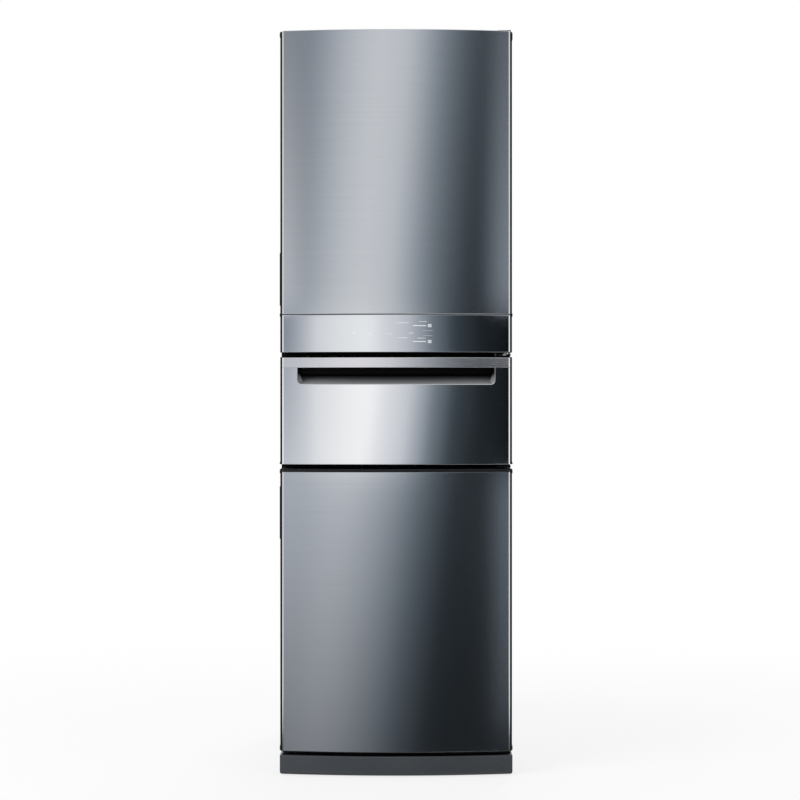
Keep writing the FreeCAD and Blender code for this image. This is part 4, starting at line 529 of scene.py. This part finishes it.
marks = {
    "sunk": 0.00014, "thick": 0.0006, "length": 0.006,
    "bars": [(0.017, 1.1726, 0.030, 0.0016), (0.069, 1.1760, 0.020, 0.0012), (0.060, 1.1655, 0.034, 0.0024),
             (0.081, 1.1526, 0.026, 0.0005), (0.081, 1.1396, 0.026, 0.0005), (0.039, 1.1461, 0.012, 0.0018),
             (0.017, 1.1341, 0.026, 0.0014), (0.065, 1.1333, 0.020, 0.0014), (0.060, 1.1245, 0.034, 0.0024),
             (-0.018, 1.1440, 0.016, 0.0014)],
    "squares": [(0.0866, 1.1655, 0.009), (0.0866, 1.1245, 0.009)],
    "square": [(0, 0.32, 1, 0.22), (0, -0.32, 1, 0.22), (-0.36, 0, 0.2, 0.6), (0.36, 0, 0.2, 0.6),
               (0, 0, 0.3, 0.3)],
    "dots": [(-0.1087, 1.1461, 0.0042), (-0.0670, 1.1440, 0.0050), (-0.046, 1.1461, 0.0030)],
}


def controlMarks(shape):
    def plate(x, z, wide, tall):
        parts = max(1, round(wide / marks["length"]))
        for i in range(parts):  # short lengths follow the bow
            left = x - wide / 2 + wide * i / parts
            right = left + wide / parts
            near = min(bowAt(left), bowAt(right)) + marks["sunk"]
            far = max(bowAt(left), bowAt(right)) + marks["thick"]
            addBox(shape, (left, near, z - tall / 2), (right, far, z + tall / 2))
    for bar in marks["bars"]:
        plate(*bar)
    for x, z, size in marks["squares"]:
        for dx, dz, wide, tall in marks["square"]:
            plate(x + size * dx, z + size * dz, size * wide, size * tall)
    for x, z, size in marks["dots"]:
        plate(x, z, size, size)


newPiece("controlMarks", controlMarks, "printed_marks", "upper_door")


# gaskets with bellows and a magnet lip, in place of the plain CAD rings

gasket = {
    "wide": 0.0155, "corner": 0.004, "leastCorner": 0.0004, "cornerSteps": 3,
    "section": [(0.0, 0.0), (0.0, 0.10), (-0.10, 0.22), (0.0, 0.36), (0.0, 0.46), (-0.10, 0.58), (0.0, 0.72),
                (0.0, 1.0), (-0.92, 1.0), (-0.92, 0.80), (-1.0, 0.70), (-0.88, 0.56), (-1.0, 0.40), (-0.88, 0.24),
                (-1.0, 0.10), (-1.0, 0.0)],
}


def gasketRing(node):
    low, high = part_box(node)
    depth = high.y - low.y

    def build(shape):
        loops = []
        for u, v in gasket["section"]:  # each point runs round its own rectangle, so the corners are mitred
            d = -u * gasket["wide"]
            corner = max(gasket["corner"] - d, gasket["leastCorner"])
            loop = roundedLoop(low.x + d, high.x - d, low.z + d, high.z - d, corner, gasket["cornerSteps"])
            loops.append([(px, low.y + v * depth, pz) for px, pz, ox, oz in loop])
        addHoop(shape, [list(ring) for ring in zip(*loops)])
    return build


for body in ("upper_door", "freezer_door", "drawer"):
    node = body + "_gasket"
    newPiece(body + ".seal", gasketRing(node), "gasket_grey", body, replaced=[node], sharp=50)
print("gaskets made")


# geometry trees: rows of bars, rows of rods, rings of ridges, screws

def newTree(name, sizes):
    tree = bpy.data.node_groups.new(name, "GeometryNodeTree")
    for label, number in sizes.items():
        kind = {int: "NodeSocketInt", tuple: "NodeSocketVector"}.get(type(number), "NodeSocketFloat")
        tree.interface.new_socket(label, in_out="INPUT", socket_type=kind).default_value = number
    tree.interface.new_socket("Geometry", in_out="OUTPUT", socket_type="NodeSocketGeometry")
    return tree, tree.nodes.new("NodeGroupInput").outputs


rowSizes = {"Count": 1, "Start": (0.0, 0.0, 0.0), "Step": (0.0, 0.0, 0.0)}


def onPoints(tree, points, shape, finish):  # copies made real, in their finish
    copies = addNode(tree, "InstanceOnPoints", {"Points": points, "Instance": shape})
    real = addNode(tree, "RealizeInstances", {"Geometry": copies[0]})
    painted = addNode(tree, "SetMaterial", {"Geometry": real[0], "Material": finishes[finish]})
    tree.links.new(painted[0], tree.nodes.new("NodeGroupOutput").inputs[0])
    return tree


def onRow(tree, given, shape, finish):
    places = {"Count": given["Count"], "Start Location": given["Start"], "Offset": given["Step"]}
    return onPoints(tree, addNode(tree, "MeshLine", places)[0], shape, finish)


def cylinder(tree, given):
    sizes = {"Vertices": given["Sides"], "Radius": given["Radius"], "Depth": given["Length"]}
    return addNode(tree, "MeshCylinder", sizes)[0]


def barTree(name, finish):
    tree, given = newTree(name, {**rowSizes, "Size": (0.1, 0.01, 0.01)})
    return onRow(tree, given, addNode(tree, "MeshCube", {"Size": given["Size"]})[0], finish)


def rodTree(name, finish):
    tree, given = newTree(name, {**rowSizes, "Radius": 0.001, "Length": 0.1, "Sides": 6})
    return onRow(tree, given, cylinder(tree, given), finish)


def ridgeTree(name, finish):
    tree, given = newTree(name, {"Count": 24, "Centre": (0.0, 0.0, 0.0), "Ring": 0.018, "Radius": 0.001,
                                 "Length": 0.008, "Sides": 6})
    circle = addNode(tree, "MeshCircle", {"Vertices": given["Count"], "Radius": given["Ring"]})
    moved = addNode(tree, "Transform", {"Geometry": circle[0], "Translation": given["Centre"]})
    return onPoints(tree, moved[0], cylinder(tree, given), finish)


def headTree(name, finish):  # pan heads that face the rear
    tree, given = newTree(name, {**rowSizes, "Radius": 0.004, "Flatness": (1.0, 0.45, 1.0), "Sides": 12,
                                 "Rings": 6})
    sizes = {"Segments": given["Sides"], "Rings": given["Rings"], "Radius": given["Radius"]}
    ball = addNode(tree, "MeshUVSphere", sizes)
    flat = addNode(tree, "Transform", {"Geometry": ball[0], "Scale": given["Flatness"]})
    smooth = addNode(tree, "SetShadeSmooth", {"Geometry": flat[0]})
    return onRow(tree, given, smooth[0], finish)


def grown(name, makeTree, finish, batches, body="cabinet", bevel=0.0):
    tree = makeTree(name + ".tree", finish)
    whole = bmesh.new()
    for sizes in batches:  # one mesh from one or more sets of sizes
        holder = newObject(name + ".shape", bpy.data.meshes.new(name + ".shape"))
        modifier = holder.modifiers.new("shape", "NODES")
        modifier.node_group = tree
        for item in tree.interface.items_tree:
            if item.in_out == "INPUT" and item.name in sizes:
                modifier[item.identifier] = sizes[item.name]
        mesh = bpy.data.meshes.new_from_object(holder.evaluated_get(bpy.context.evaluated_depsgraph_get()))
        whole.from_mesh(mesh)
        bpy.data.objects.remove(holder)
        bpy.data.meshes.remove(mesh)
    mesh = bpy.data.meshes.new(name)
    whole.to_mesh(mesh)
    whole.free()
    mesh.polygons.foreach_set("material_index", [0] * len(mesh.polygons))
    mesh.materials.append(finishes[finish])
    settle(name, mesh, body, bevel=bevel)


# strips along the doors' side trims, broken at the finger grips

strips = {"thick": 0.0008, "root": 0.0004, "half": 0.300, "lead": 0.002, "short": 0.0004, "bevel": 0.0003}
trimFront = gripFront - strips["lead"]
for body in ("upper_door", "drawer", "freezer_door"):
    low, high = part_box(body + "_edge_trims")
    runs = [(1, low.z, high.z), (-1, low.z, high.z)]
    if body != "drawer":
        gripLow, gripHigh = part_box(body + "_grip")
        runs[1:] = [(-1, low.z, gripLow.z), (-1, gripHigh.z, high.z)]
    sizes = []
    for side, foot, top in runs:
        x = side * (strips["half"] + (strips["thick"] - strips["root"]) / 2)
        size = (strips["thick"] + strips["root"], high.y - trimFront, top - foot - strips["short"])
        sizes.append({"Start": (x, trimFront / 2 + high.y / 2, (foot + top) / 2), "Size": size})
    grown(body + ".strips", barTree, "black_trim", sizes, body, bevel=strips["bevel"])

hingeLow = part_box("middle_hinge")[0]
bush = {"x": 0.286, "y": -0.295, "above": 0.0221, "below": 0.0004, "bevel": 0.0003}
low, high = hingeLow.z + bush["above"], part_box("control_housing")[0].z - bush["below"]
bushRod = {"Start": (bush["x"], bush["y"], (low + high) / 2), "Radius": 0.0064, "Length": high - low, "Sides": 24}
grown("hingeBush", rodTree, "plated_steel", [bushRod], bevel=bush["bevel"])

hingeGlintPlates = [  # end of the hinge arm and its stop beside it, light grey on the black hinge: painted glints
    {"Start": (0.2817, hingeLow.y, 1.0910), "Size": (0.0090, 0.0008, 0.0036)},
    {"Start": (0.2609, cabinetFront - 0.0024, 1.0920), "Size": (0.0026, 0.0014, 0.0070)},
]
grown("hingeGlintPlates", barTree, "lip_satin", hingeGlintPlates)

divider = {"left": -0.3015, "right": 0.262, "tall": 0.033, "thick": 0.0024, "sunk": 0.0002,
           "levels": (1.091, 0.801), "bevel": 0.0008}
middle, y = (divider["left"] + divider["right"]) / 2, cabinetFront - divider["thick"] / 2 + divider["sunk"]
size = (divider["right"] - divider["left"], divider["thick"], divider["tall"])
dividerBars = [{"Start": (middle, y, level), "Size": size} for level in divider["levels"]]  # the divider's front behind the gaps between the doors, near black: painted shade
grown("dividerShadeStrips", barTree, "divider_black", dividerBars, bevel=divider["bevel"])
print("door strips, hinge bush and divider strips made")


# rear: wires on the condenser, screws and beads on the rear panel

wire = {"Count": 23, "Step": (0.0175, 0.0, 0.0), "Radius": 0.0008, "Length": 1.06}
coil = {"left": -0.1925, "middle": 0.90, "tubeIn": 0.006, "off": 0.0032}
tubeY = cadBox[1][1] - coil["tubeIn"]
wires = [{**wire, "Start": (coil["left"], tubeY + side * coil["off"], coil["middle"])}
         for side in (-1, 1)]  # a layer on each side of the tube
grown("condenserWires", rodTree, "black_metal", wires)

panelLow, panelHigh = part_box("rear_panel")
screw = {"inset": 0.009, "foot": 0.02, "sideCount": 9, "sidePitch": 0.2, "topLeft": -0.2, "topCount": 5,
         "topPitch": 0.1, "radius": 0.0042, "slotOut": 0.0018,
         "slots": ((0.0046, 0.0006, 0.0009), (0.0009, 0.0006, 0.0046))}
sideStep, topStep = (0.0, 0.0, screw["sidePitch"]), (screw["topPitch"], 0.0, 0.0)
screwRows = [(screw["sideCount"], x, panelLow.z + screw["foot"], sideStep)
             for x in (panelLow.x + screw["inset"], panelHigh.x - screw["inset"])]
screwRows.append((screw["topCount"], screw["topLeft"], panelHigh.z - screw["inset"], topStep))
heads, slots = [], []
for count, x, z, step in screwRows:
    heads.append({"Count": count, "Start": (x, panelHigh.y, z), "Step": step, "Radius": screw["radius"]})
    for size in screw["slots"]:
        start = (x, panelHigh.y + screw["slotOut"], z)
        slots.append({"Count": count, "Start": start, "Step": step, "Size": size})
grown("rearScrews", headTree, "plated_steel", heads)
# black bars on the heads stand for the slots: painted shade in the recesses
grown("rearScrewSlots", barTree, "black_trim", slots)


def hoop(low, high, level, corner, section, upright=False, steps=6):  # a band round a rectangle
    def build(shape):
        rings = []
        for px, py, ox, oy in roundedLoop(low[0], high[0], low[1], high[1], corner, steps):
            ring = [(px + ox * u, py + oy * u, level + v) for u, v in section]
            rings.append([(x, z, y) for x, y, z in ring] if upright else ring)
        addHoop(shape, rings)
    return build


beads = {"wide": 0.007, "tall": 0.0022, "corner": 0.03, "arch": 1.4, "steps": 8, "ends": (-0.0004, 0.0001),
         "spans": {"rearBeadUpper": ((-0.235, 1.50), (0.235, 1.865)),
                   "rearBeadLower": ((-0.265, 0.355), (0.265, 1.47))}}
beadSection = [(-beads["wide"], v) for v in beads["ends"]]
for cosine, sine in arc(beads["steps"], pi)[1:-1]:  # a low arch on the sheet
    beadSection.append((-beads["wide"] * cosine, beads["tall"] * sine ** beads["arch"]))
beadSection += [(beads["wide"], v) for v in reversed(beads["ends"])]
for name, (low, high) in beads["spans"].items():
    newPiece(name, hoop(low, high, panelHigh.y, beads["corner"], beadSection, True, beads["steps"]), "zinc_sheet",
             "cabinet", sharp=50)
print("rear details made")


# fridge and freezer fittings

shelfLow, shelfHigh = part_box("fridge_shelves")
shelf = {"count": 4, "pitch": 0.145, "trim": (0.50, 0.011, 0.013), "rearTrim": (0.498, 0.006, 0.009),
         "strip": (0.494, 0.0012, 0.005)}


def shelfRow(x, y, z, size):  # one bar at each shelf
    return {"Count": shelf["count"], "Start": (x, y, z), "Step": (0.0, 0.0, shelf["pitch"]), "Size": size}


shelfBars = [shelfRow(0.0, shelfLow.y + 0.0035, shelfLow.z + 0.0025, shelf["trim"]),
             shelfRow(0.0, shelfHigh.y - 0.003, shelfLow.z + 0.0035, shelf["rearTrim"])]
grown("shelfTrims", barTree, "liner_white", shelfBars, bevel=0.0022)
shelfStrips = [shelfRow(0.0, shelfLow.y - 0.0022, shelfLow.z + 0.0025, shelf["strip"])]
grown("shelfStrips", barTree, "bright_trim", shelfStrips, bevel=0.0004)

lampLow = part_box("fridge_lamp")[0]
lampRibs = [{"Count": 17, "Start": (0.0, lampLow.y + 0.011, lampLow.z - 0.0006), "Step": (0.0, 0.008, 0.0),
             "Size": (0.126, 0.004, 0.0016)}]
grown("lampRibs", barTree, "lamp_white", lampRibs, bevel=0.0006)

rim = {  # moulded rims round the open bins
    "inset": 0.0012, "binCorner": 0.013, "drawerCorner": 0.017,
    "levels": {"door_bins": [0.080, 0.228], "bottle_bin": [0.115]},
    "section": [(-0.0034, -0.006), (0.0006, -0.006), (0.0009, -0.0016), (0.0003, -0.0004), (-0.0012, 0.0003),
                (-0.0030, -0.0004), (-0.0036, -0.0016)],
}
inward = Vector((rim["inset"], rim["inset"], 0))
for node, levels in rim["levels"].items():
    low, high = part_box(node)
    rearCorner = high - Vector((rim["inset"], 0, 0))
    for i, level in enumerate(levels):
        build = hoop(low + inward, rearCorner, low.z + level, rim["binCorner"], rim["section"])
        newPiece(f"{node}.rim{i}", build, "bright_trim", "upper_door")
low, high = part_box("drawer_bin")
newPiece("drawerBinRim", hoop(low + inward, high - inward, high.z, rim["drawerCorner"], rim["section"]),
         "liner_white", "drawer")

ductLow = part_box("air_duct")[0]
louvre = {"places": (-0.05, 0.05), "in": 0.003, "rise": 0.0775, "size": (0.051, 0.004, 0.0014)}
louvres = [shelfRow(x, ductLow.y + louvre["in"], ductLow.z + louvre["rise"], louvre["size"])
           for x in louvre["places"]]
grown("ductLouvres", barTree, "liner_white", louvres)  # one slat across each outlet of the duct

lidLow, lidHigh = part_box("dairy_lid")
lidGrip = [{"Start": (0.0, lidHigh.y - 0.0035, (lidLow.z + lidHigh.z) / 2), "Size": (0.11, 0.006, 0.0074)}]
grown("dairyLidGrip", barTree, "bright_trim", lidGrip, "dairy_lid", bevel=0.0012)

face = {"tall": 0.190, "corner": 0.012, "profile": [(0.0, 0.0), (0.6, 0.0), (0.9, 0.0012), (1.0, 0.004)],
        "gripFoot": 0.052, "gripTop": 0.016, "gripCorner": 0.010, "gripProfile": [(1.0, 0.0), (0.25, 0.004)]}


def drawerFace(low, high, thick, gripHalf):  # moulded front with a scooped grip bar
    def build(shape):
        outer = roundedLoop(low.x, high.x, low.z, high.z, face["corner"])
        grip = roundedLoop(-gripHalf, gripHalf, high.z - face["gripFoot"], high.z - face["gripTop"],
                           face["gripCorner"])
        rows = [(outer, *row) for row in face["profile"]] + [(grip, *row) for row in face["gripProfile"]]
        rings = []
        for loop, share, inset in rows:
            rings.append([(px - ox * inset, low.y - thick * share, pz - oz * inset) for px, pz, ox, oz in loop])
        addRings(shape, rings, True, True)
        bmesh.ops.recalc_face_normals(shape, faces=shape.faces)
    return build


drawersLow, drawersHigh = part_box("freezer_drawers")
faces = {  # node, thickness, half of the grip; foot and top of the face where they aren't the node's
    "freezerDrawerFace0": ("freezer_drawers", 0.007, 0.10, None, drawersLow.z + face["tall"]),
    "freezerDrawerFace1": ("freezer_drawers", 0.007, 0.10, drawersHigh.z - face["tall"], None),
    "freezerBottomFace": ("freezer_bottom_drawer", 0.007, 0.10, None, None),
    "crisperFace": ("crisper_drawer", 0.006, 0.12, None, None),
}
pull = {"drop": 0.019, "proud": 0.0005, "size": (0.192, 0.0046, 0.0055), "bevel": 0.0008}
pullBars = []
for name, (node, thick, gripHalf, foot, top) in faces.items():
    low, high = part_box(node)
    foot, top = foot or low.z, top or high.z
    build = drawerFace(Vector((low.x, low.y, foot)), Vector((high.x, low.y, top)), thick, gripHalf)
    newPiece(name, build, "frosted_plastic", "cabinet")
    pullBars.append({"Start": (0.0, low.y - thick - pull["proud"] + pull["size"][1] / 2, top - pull["drop"]),
                     "Size": pull["size"]})
grown("drawerPulls", barTree, "plinth_grey", pullBars, bevel=pull["bevel"])
print("fittings made")


# stand and machinery

for footName in ("left_foot", "right_foot"):
    low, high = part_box(footName)
    ridges = [{"Count": 28, "Centre": ((low.x + high.x) / 2, (low.y + high.y) / 2, 0.006), "Ring": 0.0178,
               "Radius": 0.0007, "Length": 0.009}]
    grown(footName + ".ridges", ridgeTree, "roller_black", ridges, footName)

inletLow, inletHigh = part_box("power_inlet")
pins = {"size": (0.0018, 0.009, 0.0044), "in": 0.0066, "drop": 0.001, "bevel": 0.0004,
        "places": ((-0.007, 0.0), (0.007, 0.0), (0.0, 0.0035))}
pinBars = []
for dx, dz in pins["places"]:
    x, z = (inletLow.x + inletHigh.x) / 2 + dx, (inletLow.z + inletHigh.z) / 2 + dz - pins["drop"]
    pinBars.append({"Start": (x, inletHigh.y - pins["in"], z), "Size": pins["size"]})
grown("inletPins", barTree, "plated_steel", pinBars, bevel=pins["bevel"])

compressor = {  # rods at its feet: rise over the plate, radius, length, sides
    "centre": (0.10, 0.205), "feet": (0.079, 0.059), "plateTop": 0.050,
    "bolts": [(0.0008, 0.009, 0.0016, 16), (0.0040, 0.0062, 0.0050, 6)],
    "sleeves": [(-0.0105, 0.0122, 0.0120, 20)],
}


def footRods(rods):
    (x, y), (dx, dy) = compressor["centre"], compressor["feet"]
    sizes = []
    for side in (-1, 1):
        for rise, radius, length, sides in rods:
            sizes.append({"Count": 2, "Start": (x - dx, y + side * dy, compressor["plateTop"] + rise),
                          "Step": (2 * dx, 0.0, 0.0), "Radius": radius, "Length": length, "Sides": sides})
    return sizes


grown("compressorBolts", rodTree, "plated_steel", footRods(compressor["bolts"]), bevel=0.0004)
grown("compressorSleeves", rodTree, "roller_black", footRods(compressor["sleeves"]), bevel=0.001)

terminal = {"shell": 0.0725,  # corners of the cover and of its spring clip
            "boxes": [((-0.023, -0.012, 0.095), (0.023, 0.018, 0.147)),
                      ((-0.004, 0.013, 0.105), (0.004, 0.0205, 0.137))]}


def terminalCover(shape):
    x, y = compressor["centre"][0], compressor["centre"][1] + terminal["shell"]
    for corners in terminal["boxes"]:
        addBox(shape, *[(x + dx, y + dy, z) for dx, dy, z in corners])


newPiece("terminalCover", terminalCover, "roller_black", "cabinet", bevel=0.003)

hingeCap = {"corner": 0.006, "cornerSteps": 5,  # share of the height and inset of each row
            "rows": [(0.0, 0.0), (0.22, 0.0), (0.22, 0.0007), (0.30, 0.0007), (0.70, 0.0009), (0.84, 0.0016),
                     (0.94, 0.0032), (1.0, 0.0062)]}


def hingeCover(shape):  # moulded cap with a rounded top and a fine step above its foot
    low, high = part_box("top_hinge_cover")
    loop = roundedLoop(low.x, high.x, low.y, high.y, hingeCap["corner"], hingeCap["cornerSteps"])
    rings = []
    for rise, inset in hingeCap["rows"]:
        z = low.z + (high.z - low.z) * rise
        rings.append([(px - ox * inset, py - oy * inset, z) for px, py, ox, oy in loop])
    addRings(shape, rings, True, True)


newPiece("hingeCover", hingeCover, "black_trim", "cabinet", replaced=["top_hinge_cover"], sharp=40)
print("stand and machinery made")


# stage: floor, reflector cards, lights, world, camera

def plainMaterial(name):
    material = bpy.data.materials.new(name)
    material.use_nodes = True
    material.node_tree.nodes.clear()
    return material, material.node_tree


def emission(tree, colour, strength=1.0):
    return addNode(tree, "Emission", {"Color": colour, "Strength": strength})


def sendOut(tree, shader, kind="ShaderNodeOutputMaterial"):
    tree.links.new(shader[0], tree.nodes.new(kind).inputs[0])


def addPlane(name, corners, material, reflected=False):
    mesh = bpy.data.meshes.new(name)
    mesh.from_pydata(corners, [], [(0, 1, 2, 3)])
    mesh.materials.append(material)
    plane = newObject(name, mesh)
    if reflected:  # only reflections show it
        plane.visible_camera = plane.visible_diffuse = plane.visible_transmission = plane.visible_shadow = False
    return plane


white = (1.0, 1.0, 1.0, 1.0)
floorLook = {"half": 9, "grey": (0.88, 0.88, 0.88, 1.0), "white": (0.78, 1.0), "reach": (0.8, 2.4)}
material, tree = plainMaterial("paleFloor")
matt = addNode(tree, "BsdfDiffuse", {"Color": floorLook["grey"]})
rays = addNode(tree, "LightPath")
reach = addNode(tree, "VectorMath", {0: objectPlace(tree)}, operation="LENGTH")["Value"]
share = spread(tree, reach, *floorLook["white"], *floorLook["reach"])  # the shadow fades into white
seen = combined(tree, "MULTIPLY", rays["Is Camera Ray"], share)
sendOut(tree, addNode(tree, "MixShader", {0: seen, 1: matt[0], 2: emission(tree, white)[0]}))
half = floorLook["half"]
floor = addPlane("floor", [(-half, -half, 0), (half, -half, 0), (half, half, 0), (-half, half, 0)], material)
floor.visible_glossy = False

cardY, cardHalf = -2.2, 1.5
plainCard = dict(fade=(1.0, 1.0), lean=0.0, level=0.95, foot=(-2.0, -1.0))
mirrorSteps = [(-0.86, 0.72), (-0.30, 0.98), (-0.13, 0.84), (0.12, 0.57), (0.27, 0.28), (0.44, 0.097),
               (0.66, 0.03)]
cards = {  # stops: grey steps in metres from the middle, lean slides them with height
    "upperCard": dict(  # left and right: greys at the foot and top of an end, and where it blends in
        plainCard, low=1.30, high=3.2, lean=0.19, level=1.83, left=(0.75, 0.06, -0.78, -0.96),
        right=(0.36, 0.05, 0.76, 0.95), stops=[(-0.87, 0.31), (-0.62, 0.55), (-0.30, 0.81), (-0.10, 0.80),
                                               (0.05, 0.71), (0.27, 0.335), (0.63, 0.06)]),
    "controlCard": dict(
        plainCard, low=1.1415, high=1.30, left=(0.36, 0.32, -0.70, -0.97), right=(0.008, 0.008, 0.68, 0.97),
        stops=mirrorSteps),
    "drawerCard": dict(
        plainCard, low=0.705, high=1.1415, lean=0.27, left=(0.60, 0.42, -0.70, -0.97),
        right=(0.01, 0.01, 0.68, 0.97), stops=mirrorSteps),
    "lowerCard": dict(
        low=-0.9, high=0.705, fade=(0.15, 1.08), lean=0.26, level=0.23, foot=(-0.32, -0.22),
        left=(0.58, 0.56, -0.74, -0.97), right=(0.145, 0.21, 0.79, 0.96),
        stops=[(-0.98, 0.54), (-0.50, 0.635), (-0.02, 0.275), (0.30, 0.062), (0.63, 0.028)]),
}
cool = {"red": 0.22, "blue": 0.2}


def coolGrey(grey):  # the darker steps lean to blue
    return (grey * (1 - cool["red"] * (1 - grey) ** 2), grey, grey * (1 + cool["blue"] * (1 - grey)))


for name, card in cards.items():
    material, tree = plainMaterial(name)
    place = addNode(tree, "SeparateXYZ", {0: objectPlace(tree)})
    slide = combined(tree, "MULTIPLY_ADD", place["Z"], -card["lean"], card["lean"] * card["level"])
    along = combined(tree, "ADD", place["X"], slide)
    ramp = tree.nodes.new("ShaderNodeValToRGB")
    tree.links.new(spread(tree, along, 0.0, 1.0, -1.0, 1.0), ramp.inputs[0])
    ramp.color_ramp.interpolation = "CARDINAL"
    while len(ramp.color_ramp.elements) < len(card["stops"]):
        ramp.color_ramp.elements.new(0.5)
    for element, (x, grey) in zip(ramp.color_ramp.elements, card["stops"]):
        element.position = (x + 1) / 2
        element.color = (*coolGrey(grey), 1.0)
    colour = ramp.outputs[0]
    low, high = card["low"], card["high"]
    rise = spread(tree, place["Z"], 0.0, 1.0, low, high)
    over = spread(tree, place["Z"], 0.0, 1.0, *card["foot"])
    for side in ("left", "right"):  # the upright ends don't lean
        foot, top, start, end = card[side]
        shade = mixed(tree, rise, coolGrey(foot), coolGrey(top))
        reach = combined(tree, "MULTIPLY", spread(tree, place["X"], 0.0, 1.0, start, end), over)
        colour = mixed(tree, reach, colour, shade)
    sendOut(tree, emission(tree, colour, spread(tree, place["Z"], *card["fade"], low, high)))
    corners = [(-cardHalf, low), (-cardHalf, high), (cardHalf, high), (cardHalf, low)]
    addPlane(name, [(x, cardY, z) for x, z in corners], material, reflected=True)

footCard = {"x": 1.6, "outline": [(-2.3, -2.0), (1.6, -2.0), (1.6, -0.12), (-2.3, -0.2)],
            "colour": (0.02, 0.021, 0.023, 1.0)}
material, tree = plainMaterial("footDark")
sendOut(tree, emission(tree, footCard["colour"]))
for name, side in (("footCardLeft", -1), ("footCardRight", 1)):  # dark below the floor, beside the stand
    addPlane(name, [(side * footCard["x"], y, z) for y, z in footCard["outline"]], material, reflected=True)

lampAim, lampSize = Vector((0, 0, 0.9)), 2.4
lamps = {  # place and power
    "keyLamp": ((-3.2, -2.6, 2.8), 105),
    "fillLamp": ((3.0, -2.6, 2.0), 24),
    "rearLamp": ((0.5, 3.4, 3.0), 75),
}
for name, (place, power) in lamps.items():
    data = bpy.data.lights.new(name, "AREA")
    data.size = lampSize
    data.energy = power
    lamp = newObject(name, data)
    lamp.location = place
    lamp.rotation_euler = (lampAim - Vector(place)).to_track_quat("-Z", "Y").to_euler()
    lamp.visible_glossy = False

world = bpy.data.worlds.new("studio")
scene.world = world
world.use_nodes = True
tree = world.node_tree
tree.nodes.clear()
rays = addNode(tree, "LightPath")
shown = combined(tree, "MAXIMUM", rays["Is Camera Ray"], rays["Is Glossy Ray"])
shown = combined(tree, "MAXIMUM", shown, rays["Is Transmission Ray"])
strength = spread(tree, shown, 0.5, 1.0, 0.0, 1.0)  # lights at half of what it shows
sendOut(tree, addNode(tree, "Background", {"Color": white, "Strength": strength}), "ShaderNodeOutputWorld")

view = {"place": (0.010, -4.623, 0.9736), "pitch": 90, "lens": 74.66, "sensor": 36.0}
camera = newObject("camera", bpy.data.cameras.new("camera"))
camera.location = view["place"]
camera.rotation_euler = (radians(view["pitch"]), 0, 0)
camera.data.lens = view["lens"]
camera.data.sensor_width = view["sensor"]
scene.camera = camera
scene.view_settings.view_transform = "Standard"
print("stage made")
